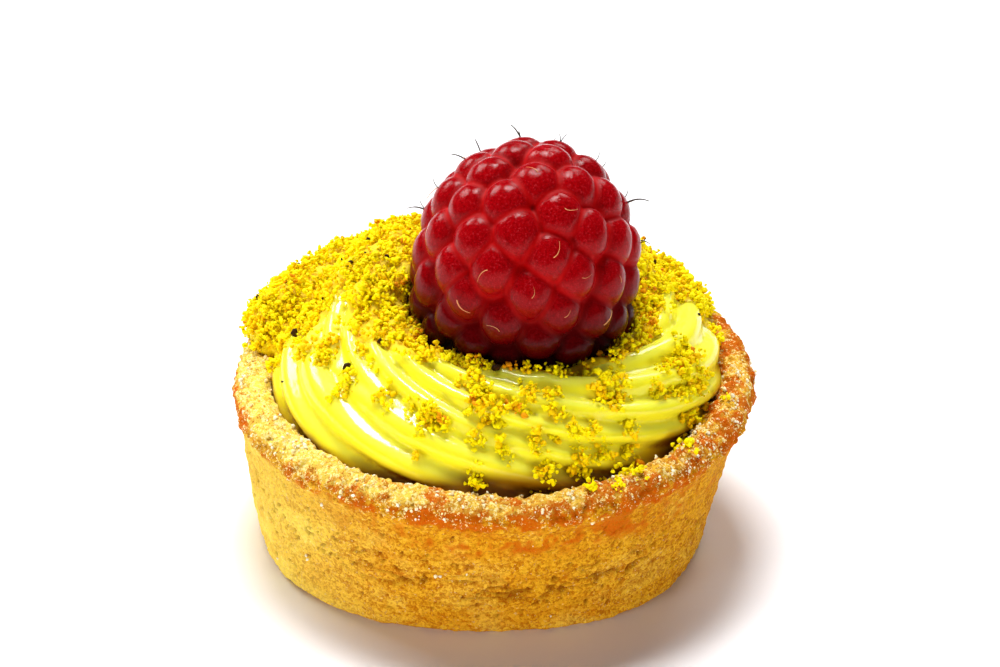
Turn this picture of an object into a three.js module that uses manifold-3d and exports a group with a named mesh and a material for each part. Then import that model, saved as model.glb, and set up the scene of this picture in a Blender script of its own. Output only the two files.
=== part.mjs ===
// A raspberry tartlet: a baked shortcrust case, a twisted ring of piped pistachio cream under a
// scatter of cake crumbs, and one whole raspberry set into the ring.
// Millimetres, +Z up. The origin is the middle of the case's flat base, and -Y is the front.
import * as THREE from "three";
import { ParametricGeometry } from "three/addons/geometries/ParametricGeometry.js";
import { mergeVertices } from "three/addons/utils/BufferGeometryUtils.js";
import { ConvexHull } from "three/addons/math/ConvexHull.js";
import Module from "manifold-3d";

const wasm = await Module();
wasm.setup();

// Driving dimensions of the case
const BASE_RADIUS = 21.35;
const BASE_EDGE = 0.8; // rounding where the side meets the base
const NECK_RADIUS = 23.2; // the side just under the rim
const RIM_MID_RADIUS = 22.2;
const RIM_MID_HEIGHT = 14.4;
const RIM_ROUND = 1.75; // the rim is a roll of this radius
const FLOOR_HEIGHT = 3.2;
const FLOOR_RADIUS = 15.6;
const FLOOR_FILLET = 2;
const RIM_SHIFT = 1.0; // the rim sits a little to the right of the base
const BASE_SQUARE = 0.025; // how far the base is from round, towards a square
const CASE_SEGMENTS = 64;

// Driving dimensions of the cream
const GAP = 0.3; // clearance between touching pieces
const RING_SHIFT = 1.3; // the ring's axis, to the right of the base's middle
const RIDGES = 13; // teeth of the piping nozzle
const RIDGE_DEPTH = 1.0;
const RIDGE_SWAY = 0.016; // how unevenly the ridges are spaced, as a share of the section
const TWIST = 0.85; // turns of the rope about itself for each turn round the ring
const SECTION_POINTS = 4 * RIDGES;
const STEPS_PER_TURN = 26;
const ROPE_PIECES = 4;
// Stations of the rope: turns clockwise from the right, distance from the axis, height, rope radius
const ROPE_STATIONS = [
  [0.0, 13.9, 9.2, 5.2],
  [0.09, 14.1, 12.2, 6.0],
  [0.25, 13.9, 14.7, 6.2],
  [0.5, 14.1, 14.8, 6.4],
  [0.75, 14.1, 15.0, 6.4],
  [0.97, 15.1, 15.7, 6.4],
  [1.09, 13.9, 16.4, 6.1],
  [1.25, 12.3, 17.4, 5.8],
  [1.5, 11.7, 18.2, 5.6],
  [1.75, 11.7, 19.0, 5.7],
  [1.93, 11.4, 19.2, 5.1],
  [2.0, 11.0, 18.4, 3.6],
];
const CRUMB_BED = 1.3; // thickness of the packed crumbs behind the raspberry
const BED_PEAK = 1.2; // how many times thicker they lie at the back left
const BED_PEAK_ANGLE = 2.4;
// Stations of the crumbs heaped between the ring and the rim: degrees, radius, height, thickness
const HEAP_STATIONS = [
  [8, 16.5, 15.0, 2.0],
  [25, 17.8, 15.8, 4.3],
  [50, 18.0, 16.2, 4.6],
  [90, 18.2, 16.2, 4.5],
  [120, 19.0, 16.7, 5.0],
  [150, 20.0, 16.7, 4.8],
  [163, 20.4, 16.4, 4.4],
  [173, 20.4, 15.4, 2.4],
];
const HEAP_STEPS = 22;
const HEAP_SIDES = 10;

// Driving dimensions of the raspberry
const BERRY_X = 3.7;
const BERRY_HEIGHT = 26.3; // its widest level
const BERRY_RADIUS = 10.75; // over the drupelets
const BERRY_CROWN = 13.4; // from the widest level to the tip
const BERRY_FOOT = 10.3; // from the widest level to the underside
const BERRY_LEAN = 0.05; // how far it leans to the right for each millimetre of height
const DRUPELETS = 100;
const CREASE_DEPTH = 1.5; // where drupelets meet
const DOME_ROWS = [0, 0.45, 0.8, 1]; // shares of the way from a drupelet's middle to its crease
const domeFall = (share) => (1 - Math.sqrt(1 - (0.94 * share) ** 2)) / (1 - Math.sqrt(1 - 0.94 ** 2));

// Driving dimensions of the crumbs
const CRUMB_SIZES = [0.75, 1.25]; // radii of the clumps on the cream
const BACK_CRUMBS = 70;
const FRONT_CRUMBS = 24;

const seededRandom = (seed) => () => {
  seed = (seed + 0x6d2b79f5) | 0;
  let t = Math.imul(seed ^ (seed >>> 15), 1 | seed);
  t = (t + Math.imul(t ^ (t >>> 7), 61 | t)) ^ t;
  return ((t ^ (t >>> 14)) >>> 0) / 4294967296;
};
const between = (random, low, high) => low + (high - low) * random();
const smoothStep = (low, high, x) => THREE.MathUtils.smoothstep(x, low, high);

// A closed geometry as a solid that can be joined and cut
function toSolid(geometry) {
  const bare = geometry.index ? geometry.toNonIndexed() : geometry.clone();
  bare.deleteAttribute("normal");
  bare.deleteAttribute("uv");
  const merged = mergeVertices(bare, 1e-4);
  const made = new wasm.Manifold(
    new wasm.Mesh({
      numProp: 3,
      vertProperties: new Float32Array(merged.attributes.position.array),
      triVerts: new Uint32Array(merged.index.array),
    }),
  );
  if (made.volume() < 0) throw new Error("a geometry is inside out");
  return made;
}

function toGeometry(solid) {
  const { vertProperties, triVerts } = solid.getMesh();
  const geometry = new THREE.BufferGeometry();
  geometry.setAttribute("position", new THREE.BufferAttribute(vertProperties, 3));
  geometry.setIndex(new THREE.BufferAttribute(triVerts, 1));
  geometry.computeVertexNormals();
  return geometry;
}

const joined = (solids) => wasm.Manifold.union(solids);
const largestBody = (solid) => solid.decompose().sort((a, b) => b.volume() - a.volume())[0];

// Moves every vertex by a rule of its angle round the axis, its radius and its height
function reshape(geometry, rule) {
  const place = geometry.attributes.position;
  for (let i = 0; i < place.count; i++) {
    const [x, y, z] = [place.getX(i), place.getY(i), place.getZ(i)];
    const moved = rule(Math.atan2(y, x), Math.hypot(x, y), z);
    place.setXYZ(i, moved.x, moved.y, moved.z);
  }
  return geometry;
}

const lathe = (profile, segments) =>
  new THREE.LatheGeometry(profile, segments).rotateX(Math.PI / 2);

// The hand-pressed case is not quite round, and its rim rises and dips a little
const caseSwell = (angle) =>
  1 + 0.018 * Math.cos(2 * angle + 0.2) + 0.004 * Math.cos(3 * angle - 1.1) + 0.002 * Math.cos(7 * angle);
const rimLift = (angle) =>
  0.45 * Math.cos(angle - 0.7) + 0.14 * Math.cos(3 * angle + 0.4) + 0.08 * Math.cos(8 * angle + 2);

function warpCase(angle, radius, height) {
  const rise = height / RIM_MID_HEIGHT;
  const squarish = BASE_SQUARE * Math.cos(4 * angle) * Math.max(0, 1 - rise);
  const swelled = radius * (caseSwell(angle) - squarish);
  return new THREE.Vector3(
    swelled * Math.cos(angle) + RIM_SHIFT * rise * Math.abs(rise),
    swelled * Math.sin(angle),
    height + rimLift(angle) * rise * rise,
  );
}

// The case's outline from the middle of its base, up the side, over the rim and down to its floor.
// A grown outline is the same one moved outwards, for cutting what lies against the case.
function caseGeometry(grow, segments, curvePoints) {
  const roll = RIM_ROUND + grow;
  const innerTop = RIM_MID_RADIUS - roll;
  const innerFoot = FLOOR_RADIUS + FLOOR_FILLET - grow;
  const outline = new THREE.Path();
  outline.moveTo(0, -grow);
  outline.lineTo(BASE_RADIUS - BASE_EDGE, -grow);
  outline.quadraticCurveTo(BASE_RADIUS + grow, -grow, BASE_RADIUS + 0.1 + grow, BASE_EDGE);
  outline.lineTo((BASE_RADIUS + NECK_RADIUS) / 2 + grow, RIM_MID_HEIGHT * 0.42);
  outline.lineTo(NECK_RADIUS + grow, RIM_MID_HEIGHT - RIM_ROUND * 1.15);
  outline.absarc(RIM_MID_RADIUS, RIM_MID_HEIGHT, roll, -0.45, Math.PI, false);
  outline.lineTo((innerTop + innerFoot) / 2, (RIM_MID_HEIGHT + FLOOR_HEIGHT) / 2);
  outline.lineTo(innerFoot, FLOOR_HEIGHT + FLOOR_FILLET);
  outline.quadraticCurveTo(innerFoot, FLOOR_HEIGHT + grow, FLOOR_RADIUS - grow, FLOOR_HEIGHT + grow);
  outline.lineTo(0, FLOOR_HEIGHT + grow);
  return reshape(lathe(outline.getPoints(curvePoints), segments), warpCase);
}

// A smooth curve through stations, which gives one of their columns at a place along them
function along(stations, place, column) {
  const last = stations.length - 1;
  const t = THREE.MathUtils.clamp(place, stations[0][0], stations[last][0]);
  let i = 0;
  while (i < last - 1 && t > stations[i + 1][0]) i++;
  const slope = (k) => {
    const [before, after] = [stations[Math.max(0, k - 1)], stations[Math.min(last, k + 1)]];
    return (after[column] - before[column]) / (after[0] - before[0]);
  };
  const [from, to] = [stations[i], stations[i + 1]];
  const span = to[0] - from[0];
  const u = (t - from[0]) / span;
  return (
    from[column] * (1 + 2 * u) * (1 - u) ** 2 +
    to[column] * u * u * (3 - 2 * u) +
    slope(i) * span * u * (1 - u) ** 2 +
    slope(i + 1) * span * u * u * (u - 1)
  );
}

const ropeAt = (turn, column) => along(ROPE_STATIONS, turn, column);

// How thick the packed crumb bed lies at an angle round the ring: all of it is behind the raspberry
const bedAt = (angle) => {
  const behind = smoothStep(-0.15, 0.35, Math.sin(angle));
  const peak = Math.max(0, Math.cos(angle - BED_PEAK_ANGLE)) ** 2;
  return CRUMB_BED * behind * (1 + BED_PEAK * peak);
};

// A point on the rope's skin: turn along the rope, share of the way round its section
function ropePoint(turn, share, target) {
  const angle = -2 * Math.PI * turn;
  const around = 2 * Math.PI * (share + TWIST * turn);
  const sway = RIDGE_SWAY * Math.sin(4 * Math.PI * share - 0.2);
  const ridge = Math.abs(Math.cos(RIDGES * Math.PI * (share + sway)));
  const top = Math.max(0, Math.sin(around));
  const reach =
    ropeAt(turn, 3) - RIDGE_DEPTH * (1 - ridge) + bedAt(angle) * smoothStep(0.1, 0.7, top);
  const radius = ropeAt(turn, 1) + reach * Math.cos(around);
  return target.set(
    RING_SHIFT + radius * Math.cos(angle),
    radius * Math.sin(angle),
    ropeAt(turn, 2) + reach * Math.sin(around),
  );
}

// A length of the rope with flat ends, as a closed geometry
function ropeGeometry(start, end) {
  const steps = Math.round((end - start) * STEPS_PER_TURN);
  const middle = (turn) => {
    const angle = -2 * Math.PI * turn;
    return new THREE.Vector3(
      RING_SHIFT + ropeAt(turn, 1) * Math.cos(angle),
      ropeAt(turn, 1) * Math.sin(angle),
      ropeAt(turn, 2),
    );
  };
  // The first and last rows lie at the section's middle, which closes the ends
  const skin = (u, v, target) => {
    const row = Math.round(u * (steps + 2));
    const turn = start + ((end - start) * THREE.MathUtils.clamp(row - 1, 0, steps)) / steps;
    const share = Math.round((1 - v) * SECTION_POINTS) % SECTION_POINTS;
    if (row === 0 || row === steps + 2) return target.copy(middle(turn));
    return ropePoint(turn, share / SECTION_POINTS, target);
  };
  return new ParametricGeometry(skin, steps + 2, SECTION_POINTS);
}

function rope() {
  const end = ROPE_STATIONS[ROPE_STATIONS.length - 1][0];
  const pieces = [];
  for (let i = 0; i < ROPE_PIECES; i++) {
    pieces.push(toSolid(ropeGeometry((end * i) / ROPE_PIECES, (end * (i + 1)) / ROPE_PIECES)));
  }
  return joined(pieces);
}

// The crumbs heaped behind the ring, from the cream out over the case's rim
function crumbHeap() {
  const [from, to] = [HEAP_STATIONS[0][0], HEAP_STATIONS[HEAP_STATIONS.length - 1][0]];
  const skin = (u, v, target) => {
    const row = Math.round(u * (HEAP_STEPS + 2));
    const degrees = from + ((to - from) * THREE.MathUtils.clamp(row - 1, 0, HEAP_STEPS)) / HEAP_STEPS;
    const side = Math.round(v * HEAP_SIDES) % HEAP_SIDES;
    const around = (2 * Math.PI * side) / HEAP_SIDES;
    const closed = row === 0 || row === HEAP_STEPS + 2;
    const reach = closed ? 0 : along(HEAP_STATIONS, degrees, 3);
    const radius = along(HEAP_STATIONS, degrees, 1) + reach * Math.cos(around);
    const angle = THREE.MathUtils.degToRad(degrees);
    return target.set(
      RING_SHIFT + radius * Math.cos(angle),
      radius * Math.sin(angle),
      along(HEAP_STATIONS, degrees, 2) + reach * Math.sin(around),
    );
  };
  return toSolid(new ParametricGeometry(skin, HEAP_STEPS + 2, HEAP_SIDES));
}

// The cream that fills the case under the ring, and closes the ring's middle under the raspberry
function creamFill() {
  const profile = new THREE.Path();
  const foot = FLOOR_HEIGHT + GAP;
  profile.moveTo(0, foot);
  profile.lineTo(FLOOR_RADIUS - GAP, foot);
  profile.lineTo(FLOOR_RADIUS + 1.2, foot + FLOOR_FILLET);
  profile.lineTo(RIM_MID_RADIUS - RIM_ROUND - 2.2, 9.5);
  profile.lineTo(14, 14);
  profile.lineTo(9.5, 17.5);
  profile.lineTo(0, 17.5);
  return toSolid(reshape(lathe(profile.getPoints(1), CASE_SEGMENTS / 2), warpCase));
}

// The raspberry's outline: how far from its axis it reaches at a height above its widest level
function berryReach(height, inset) {
  const along = height > 0 ? height / (BERRY_CROWN - inset) : height / (BERRY_FOOT - inset);
  const power = height > 0 ? 2.3 : 3.2; // the foot is blunter than the crown
  return (BERRY_RADIUS - inset) * Math.max(0, 1 - Math.abs(along) ** power) ** 0.5;
}

// A point of the raspberry, in a direction from the middle of its widest level
function berryPoint(direction, inset) {
  const level = direction.z * ((direction.z > 0 ? BERRY_CROWN : BERRY_FOOT) - inset);
  const reach = berryReach(level, inset);
  const angle = Math.atan2(direction.y, direction.x);
  return new THREE.Vector3(
    BERRY_X + BERRY_LEAN * level + reach * Math.cos(angle),
    reach * Math.sin(angle),
    BERRY_HEIGHT + level,
  );
}

// The raspberry's plain outline, larger by the gap, for the hollow it has pressed into the cream
function berryRoomGeometry() {
  const profile = [];
  const rows = 14;
  for (let row = 0; row <= rows; row++) {
    const slope = Math.PI * (row / rows - 0.5);
    const point = berryPoint(new THREE.Vector3(Math.cos(slope), 0, Math.sin(slope)), -GAP);
    const level = point.z - BERRY_HEIGHT;
    const reach = row % rows ? point.x - BERRY_X - BERRY_LEAN * level : 0;
    profile.push(new THREE.Vector2(reach, point.z));
  }
  const leaning = (angle, radius, height) =>
    new THREE.Vector3(
      BERRY_X + BERRY_LEAN * (height - BERRY_HEIGHT) + radius * Math.cos(angle),
      radius * Math.sin(angle),
      height,
    );
  return reshape(lathe(profile, 30), leaning);
}

// The drupelets stand in the crossing spirals that a real berry grows in
function drupeletDirections() {
  const random = seededRandom(11);
  const golden = Math.PI * (3 - Math.sqrt(5));
  const directions = [];
  for (let i = 0; i < DRUPELETS; i++) {
    const level = 1 - (2 * (i + 0.5)) / DRUPELETS;
    const angle = i * golden + between(random, -0.08, 0.08);
    const reach = Math.sqrt(1 - level * level);
    directions.push(new THREE.Vector3(reach * Math.cos(angle), reach * Math.sin(angle), level));
  }
  return directions;
}

// The corners where three drupelets meet, in order round one of them
function drupeletCorners(middle, hull) {
  const across = new THREE.Vector3(0, 0, 1).cross(middle).normalize();
  const upward = middle.clone().cross(across);
  const bearing = (corner) => Math.atan2(corner.dot(upward), corner.dot(across));
  return hull.faces
    .filter((face) => [0, 1, 2].some((i) => face.getEdge(i).head().point === middle))
    .map((face) => face.normal)
    .sort((a, b) => bearing(a) - bearing(b));
}

// One skin of domes: each drupelet rises from the creases it shares with its neighbours
function raspberryGeometry() {
  const directions = drupeletDirections();
  const hull = new ConvexHull().setFromPoints(directions);
  const place = [];
  const add = (...points) => points.forEach((point) => place.push(point.x, point.y, point.z));
  for (const middle of directions) {
    const corners = drupeletCorners(middle, hull);
    const point = (corner, share) =>
      berryPoint(middle.clone().lerp(corner, share).normalize(), CREASE_DEPTH * domeFall(share));
    corners.forEach((corner, i) => {
      const next = corners[(i + 1) % corners.length];
      add(point(corner, 0), point(corner, DOME_ROWS[1]), point(next, DOME_ROWS[1]));
      for (let row = 1; row < DOME_ROWS.length - 1; row++) {
        const [inner, outer] = [DOME_ROWS[row], DOME_ROWS[row + 1]];
        add(point(corner, inner), point(corner, outer), point(next, outer));
        add(point(corner, inner), point(next, outer), point(next, inner));
      }
    });
  }
  const geometry = new THREE.BufferGeometry();
  geometry.setAttribute("position", new THREE.Float32BufferAttribute(place, 3));
  return geometry;
}

// Drops a point straight down onto a mesh and returns where it lands
const caster = new THREE.Raycaster();
function landing(mesh, x, y) {
  caster.set(new THREE.Vector3(x, y, 60), new THREE.Vector3(0, 0, -1));
  const hit = caster.intersectObject(mesh)[0];
  return hit ? hit.point : null;
}

// Clumps of cake crumb that have landed on a mesh, each a lumpy grain sunk a little into it
function crumbs(mesh, count, sizes, seed, place) {
  const random = seededRandom(seed);
  const pieces = [];
  while (pieces.length < count) {
    const { angle, radius } = place(random);
    const size = between(random, ...sizes);
    const spot = landing(mesh, RING_SHIFT + radius * Math.cos(angle), radius * Math.sin(angle));
    const shape = size > 1.08 ? THREE.IcosahedronGeometry : THREE.OctahedronGeometry;
    const lump = new shape(size, 0)
      .scale(between(random, 0.8, 1.2), between(random, 0.8, 1.2), between(random, 0.7, 1))
      .rotateX(between(random, 0, Math.PI))
      .rotateZ(between(random, 0, 2 * Math.PI));
    if (spot) pieces.push(toSolid(lump.translate(spot.x, spot.y, spot.z + 0.15 * size)));
  }
  return pieces;
}

const backCrumb = (random) => {
  const angle = between(random, 0.05, 1.0) * Math.PI;
  return { angle, radius: between(random, 11.5, angle > 1.9 ? 22.5 : 20.5) };
};
const frontCrumb = (random) => ({
  angle: -between(random, 0.02, 0.98) * Math.PI,
  radius: random() < 0.5 ? between(random, 11, 13.5) : between(random, 13.5, 18.5),
});

function material(color, roughness) {
  return new THREE.MeshStandardMaterial({ color, roughness, metalness: 0 });
}

function named(name, solid, finish) {
  const mesh = new THREE.Mesh(toGeometry(solid), finish);
  mesh.name = name;
  return mesh;
}

const crustFinish = material(0xe0a24a, 0.9);
const creamFinish = material(0xdfd648, 0.4);
const berryFinish = material(0x9c1420, 0.45);

const plainCase = toSolid(caseGeometry(0, CASE_SEGMENTS, 3));
const caseRoom = toSolid(caseGeometry(GAP + 0.05, CASE_SEGMENTS / 2, 2));
const berry = toSolid(raspberryGeometry());
const berryRoom = toSolid(berryRoomGeometry());

const plainCream = joined([rope(), creamFill(), crumbHeap()]);
const creamMesh = named("cream", plainCream, creamFinish);
const creamCrumbs = [
  ...crumbs(creamMesh, BACK_CRUMBS, CRUMB_SIZES, 5, backCrumb),
  ...crumbs(creamMesh, FRONT_CRUMBS, CRUMB_SIZES, 9, frontCrumb),
];
const shapedCream = joined([plainCream, ...creamCrumbs]).subtract(caseRoom).subtract(berryRoom);
const cream = largestBody(shapedCream);

const tartlet = new THREE.Group();
tartlet.add(named("crust", plainCase, crustFinish));
tartlet.add(named("cream", cream, creamFinish));
tartlet.add(named("raspberry", berry, berryFinish));

export default tartlet;
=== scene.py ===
"""Dresses a raspberry tartlet: baked shortcrust, piped cream, cake crumbs and the berry on top."""

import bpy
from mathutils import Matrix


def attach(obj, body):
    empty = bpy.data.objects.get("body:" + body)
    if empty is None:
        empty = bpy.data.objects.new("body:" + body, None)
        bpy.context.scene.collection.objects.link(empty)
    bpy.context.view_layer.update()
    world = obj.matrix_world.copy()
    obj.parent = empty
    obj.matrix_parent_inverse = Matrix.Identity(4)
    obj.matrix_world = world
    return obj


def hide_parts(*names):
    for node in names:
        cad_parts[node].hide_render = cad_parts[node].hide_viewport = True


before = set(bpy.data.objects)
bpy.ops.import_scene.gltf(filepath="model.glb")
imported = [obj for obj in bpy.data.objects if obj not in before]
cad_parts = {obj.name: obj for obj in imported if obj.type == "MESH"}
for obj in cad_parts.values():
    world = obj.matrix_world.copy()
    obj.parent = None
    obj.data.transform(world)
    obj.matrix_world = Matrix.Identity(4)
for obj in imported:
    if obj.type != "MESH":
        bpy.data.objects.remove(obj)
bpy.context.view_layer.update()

import math

import bmesh
import bpy
import numpy as np
from bpy.props import (
    FloatProperty,
    FloatVectorProperty,
    IntProperty,
    PointerProperty,
)
from mathutils import Matrix, Vector

bl_info = {
    "name": "Raspberry Tartlet",
    "version": (1, 0, 0),
    "blender": (4, 5, 0),
    "location": "3D View > Sidebar > Tartlet",
    "description": "Builds the pieces, finishes and stage of a raspberry tartlet",
    "category": "Object",
}

MM = 0.001
BODY = "root"

# The camera: its height above the horizon and its roll, the place it looks at in
# millimetres, and the pixels to a metre at that place
VIEW_TILT = math.radians(30.5)
VIEW_ROLL = math.radians(1.0)
VIEWED_PLACE = (1.55, 0.0, 20.0)
PIXELS_PER_METRE = 10700.0
PICTURE_WIDTH = 1000
SENSOR_WIDTH = 36.0

# The stage, in metres, and its lamps: place, width, the setting and the share of it
# that is the lamp's power, and whether it shows in reflections
FLOOR_WIDTH = 6.0
LIT_PLACE = Vector((0, 0, 0.015))
LAMPS = (
    ("key_light", (-0.05, 0.23, 0.62), 0.26, "key_power", 1, True),
    ("back_left_light", (-0.45, 0.42, 0.44), 0.3, "back_power", 1, True),
    ("back_right_light", (0.2, 0.58, 0.5), 0.3, "back_power", 0.6, True),
    ("window_light", (-0.45, -0.42, 0.07), 0.2, "fill_power", 1, False),
    ("fill_light", (0.4, -0.46, 0.07), 0.2, "fill_power", 0.75, False),
)

# In millimetres: the berry's place to the right, its reach where the crumbs meet it, and
# the gaps between the cream's fill and the floor, the cream and the case, and the berry
BERRY_SHIFT = 3.7
BERRY_SKIN = 9.0
FILL_GAP = 0.3
CASE_GAP = 0.12
BERRY_GAP = 0.15

# Width of the cubes from which the cream's skin is drawn
CREAM_VOXEL = 0.27 * MM


# Colours and numbers


def srgb(red, green, blue):
    """A colour given in 0 to 255, as linear values."""

    def linear(level):
        share = level / 255
        return share / 12.92 if share <= 0.04045 else ((share + 0.055) / 1.055) ** 2.4

    return (linear(red), linear(green), linear(blue))


def smooth_step(low, high, value):
    """0 below low, 1 above high, and a smooth rise between them."""
    share = np.clip((np.asarray(value, float) - low) / (high - low), 0, 1)
    return share * share * (3 - 2 * share)


def mix(first, second, share):
    """first where share is 0, second where it is 1."""
    return first + (second - first) * share


def speckle(points, scale, seed):
    """Smooth random values from 0 to 1 that change over about the given distance."""
    place = np.asarray(points, float) / scale + seed * 17.31
    cell = np.floor(place).astype(np.int64)
    part = place - cell
    part = part * part * (3 - 2 * part)
    total = np.zeros(len(place))
    for corner in range(8):
        step = np.array([corner & 1, corner >> 1 & 1, corner >> 2 & 1])
        near = cell + step
        code = near[:, 0] * 73856093 ^ near[:, 1] * 19349663 ^ near[:, 2] * 83492791
        code = (code ^ (code >> 13)) * 1274126177 & 0xFFFFFFFF
        code = (code ^ (code >> 15)) * 668265263 & 0xFFFFFFFF
        value = ((code ^ (code >> 16)) & 0xFFFF) / 65535
        weight = np.prod(np.where(step == 1, part, 1 - part), axis=1)
        total += weight * value
    return total


def layered(points, scale, seed, octaves=3):
    """Speckle at several sizes, each half the one before, from 0 to 1."""
    total = np.zeros(len(points))
    weights = 0
    for octave in range(octaves):
        total += speckle(points, scale / 2**octave, seed + octave) / 2**octave
        weights += 1 / 2**octave
    return total / weights


# What a user may change


def length(name, default_mm, description):
    return FloatProperty(
        name=name,
        description=description,
        default=default_mm * MM,
        min=0.0,
        unit="LENGTH",
        subtype="DISTANCE",
        precision=5,
    )


def colour(name, default, description):
    return FloatVectorProperty(
        name=name,
        description=description,
        default=srgb(*default),
        size=3,
        min=0.0,
        max=1.0,
        subtype="COLOR",
    )


def whole(name, default, description):
    return IntProperty(name=name, description=description, default=default, min=0)


def number(name, default, description):
    return FloatProperty(name=name, description=description, default=default, subtype="FACTOR")


class CrustSettings(bpy.types.PropertyGroup):
    base_radius: length("Base radius", 21.35, "Radius of the flat underside")
    neck_radius: length("Neck radius", 23.2, "Radius of the side just under the rim")
    rim_radius: length("Rim radius", 22.2, "From the axis to the middle of the rim's roll")
    rim_height: length("Rim height", 14.4, "Height of the middle of the rim's roll")
    rim_round: length("Rim round", 1.75, "Radius of the rim's roll")
    rim_shift: length("Rim shift", 1.0, "How far the rim sits to the right of the base")
    floor_height: length("Floor height", 3.2, "Thickness of the bottom")
    floor_radius: length("Floor radius", 15.6, "Radius of the flat inside bottom")
    grain: length("Grain", 0.26, "Width of the sandy grains of the baked crust")
    side_colour: colour("Side", (230, 170, 30), "Colour of the side")
    deep_colour: colour("Baked", (184, 104, 4), "Colour of the well baked parts")
    brown_colour: colour("Browned", (200, 84, 1), "Colour of the browned outer edge of the rim")
    # Also the colour of the painted light on the crust.
    pale_and_lit_colour: colour("Pale", (255, 228, 96), "Colour of the palest grains")


class CreamSettings(bpy.types.PropertyGroup):
    ring_shift: length("Ring shift", 1.3, "How far the ring sits to the right of the base")
    ridges: whole("Ridges", 13, "Teeth of the piping nozzle")
    ridge_depth: length("Ridge depth", 1.05, "Depth of the grooves between ridges")
    twist: number("Twist", 0.85, "Turns of the rope about itself for each turn round the ring")
    crumb_bed: length("Crumb bed", 1.3, "Thickness of the packed crumbs behind the berry")
    cream_colour: colour("Cream", (250, 246, 84), "Colour of the cream")
    # Painted shade down in the grooves.
    groove_shade_colour: colour("Grooves", (224, 220, 40), "Colour of the cream down in its grooves")
    # Painted shade: the deeper yellow of the outer flanks that face away from the top.
    flank_shade_colour: colour("Flanks", (255, 238, 14), "Colour of the cream on the ridges' outer sides")
    # Painted shade where the cream tucks under at the rim.
    tuck_shade_colour: colour("Low", (128, 74, 1), "Colour of the cream where it tucks under at the rim")
    bed_colour: colour("Crumb bed", (252, 214, 8), "Colour of the packed crumbs")


class BerrySettings(bpy.types.PropertyGroup):
    shift: length("Shift", BERRY_SHIFT, "How far the berry stands to the right of the middle")
    height: length("Height", 26.3, "Height of the berry's widest level")
    radius: length("Radius", 10.75, "Radius over the drupelets")
    crown: length("Crown", 13.4, "From the widest level to the tip")
    foot: length("Foot", 10.3, "From the widest level to the underside")
    lean: number("Lean", 0.05, "How far it leans to the right for each unit of height")
    drupelets: whole("Drupelets", 100, "Number of drupelets")
    crease: length("Crease", 1.0, "Depth of the creases between drupelets")
    hair_length: length("Hair length", 2.3, "Length of the dried styles")
    hair_width: length("Hair width", 0.19, "Thickness of a style at its root")
    skin_colour: colour("Skin", (164, 1, 7), "Colour of the drupelets")
    deep_colour: colour("Low", (22, 0, 0), "Colour low down, where little light comes")
    glow_colour: colour("Creases", (176, 0, 1), "Colour between the upper drupelets")
    # Colour of the pale speckle on the skin and of the painted sheen along the drupelets' upper
    # edges.
    speckle_and_sheen_colour: colour("Bloom", (228, 112, 124), "Colour of the faint bloom on a drupelet's edge")
    hair_colour: colour("Hair", (222, 146, 84), "Colour of the dried styles")


class CrumbSettings(bpy.types.PropertyGroup):
    grain_low: length("Smallest grain", 0.26, "Width of the smallest grains")
    grain_high: length("Largest grain", 0.78, "Width of the largest grains")
    clump: whole("Clump", 8, "Grains that lie together in one clump")
    spread: length("Spread", 1.0, "How far a clump reaches")
    yellow: colour("Yellow", (255, 235, 6), "Colour of the plain crumbs")
    golden: colour("Golden", (255, 212, 4), "Colour of the deeper crumbs")
    toasted: colour("Toasted", (236, 156, 10), "Colour of the toasted crumbs")
    fleck: colour("Fleck", (58, 34, 14), "Colour of the dark flecks")
    sugar: colour("Sugar", (255, 250, 222), "Colour of the sugar grains on the rim")


class StageSettings(bpy.types.PropertyGroup):
    floor_colour: colour("Floor", (250, 249, 250), "Colour of the floor")
    sky_colour: colour("Surround", (206, 216, 255), "Colour of the light from all round")
    sky_strength: number("Surround strength", 0.07, "Strength of the light from all round")
    key_power: FloatProperty(
        name="Key light", description="Power of the light overhead", default=4.8, unit="POWER"
    )
    back_power: FloatProperty(
        name="Back light", description="Power of the lights from behind", default=2.6, unit="POWER"
    )
    fill_power: FloatProperty(
        name="Front lights", description="Power of the low ones in front", default=2.2, unit="POWER"
    )
    distance: length("Camera distance", 380, "From the camera to the point it looks at")
    elevation: FloatProperty(
        name="Camera elevation",
        description="Height of the camera above the horizon",
        default=VIEW_TILT,
        subtype="ANGLE",
        unit="ROTATION",
    )


# Meshes


def new_object(name, data):
    """An object at the origin, in the scene, with that mesh, lamp or camera."""
    made = bpy.data.objects.new(name, data)
    bpy.context.scene.collection.objects.link(made)
    return made


def mesh_object(name, points, faces):
    """An object at the origin with that mesh; points in metres."""
    mesh = bpy.data.meshes.new(name)
    mesh.from_pydata([tuple(point) for point in points], [], [tuple(face) for face in faces])
    mesh.validate()
    mesh.shade_smooth()
    return new_object(name, mesh)


def keep_mesh(work, mesh):
    """Writes the bmesh to the mesh and frees it."""
    work.to_mesh(mesh)
    work.free()
    return mesh


def corners(mesh):
    """The mesh's vertices as rows of x, y and z."""
    place = np.empty(len(mesh.vertices) * 3)
    mesh.vertices.foreach_get("co", place)
    return place.reshape(-1, 3)


def normals(mesh):
    """The mesh's vertex normals as rows of x, y and z."""
    facing = np.empty(len(mesh.vertices) * 3, dtype=np.float32)
    mesh.vertex_normals.foreach_get("vector", facing)
    return facing.reshape(-1, 3).astype(float)


def surface_of(piece):
    """The piece's vertices in millimetres, and their normals."""
    return corners(piece.data) / MM, normals(piece.data)


def set_corners(mesh, place):
    mesh.vertices.foreach_set("co", np.asarray(place, float).ravel())
    mesh.update()


def add_mask(mesh, name, values):
    """Stores one value for each vertex under that name."""
    layer = mesh.attributes.get(name) or mesh.attributes.new(name, "FLOAT", "POINT")
    layer.data.foreach_set("value", np.asarray(values, dtype=np.float32).ravel())


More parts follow.
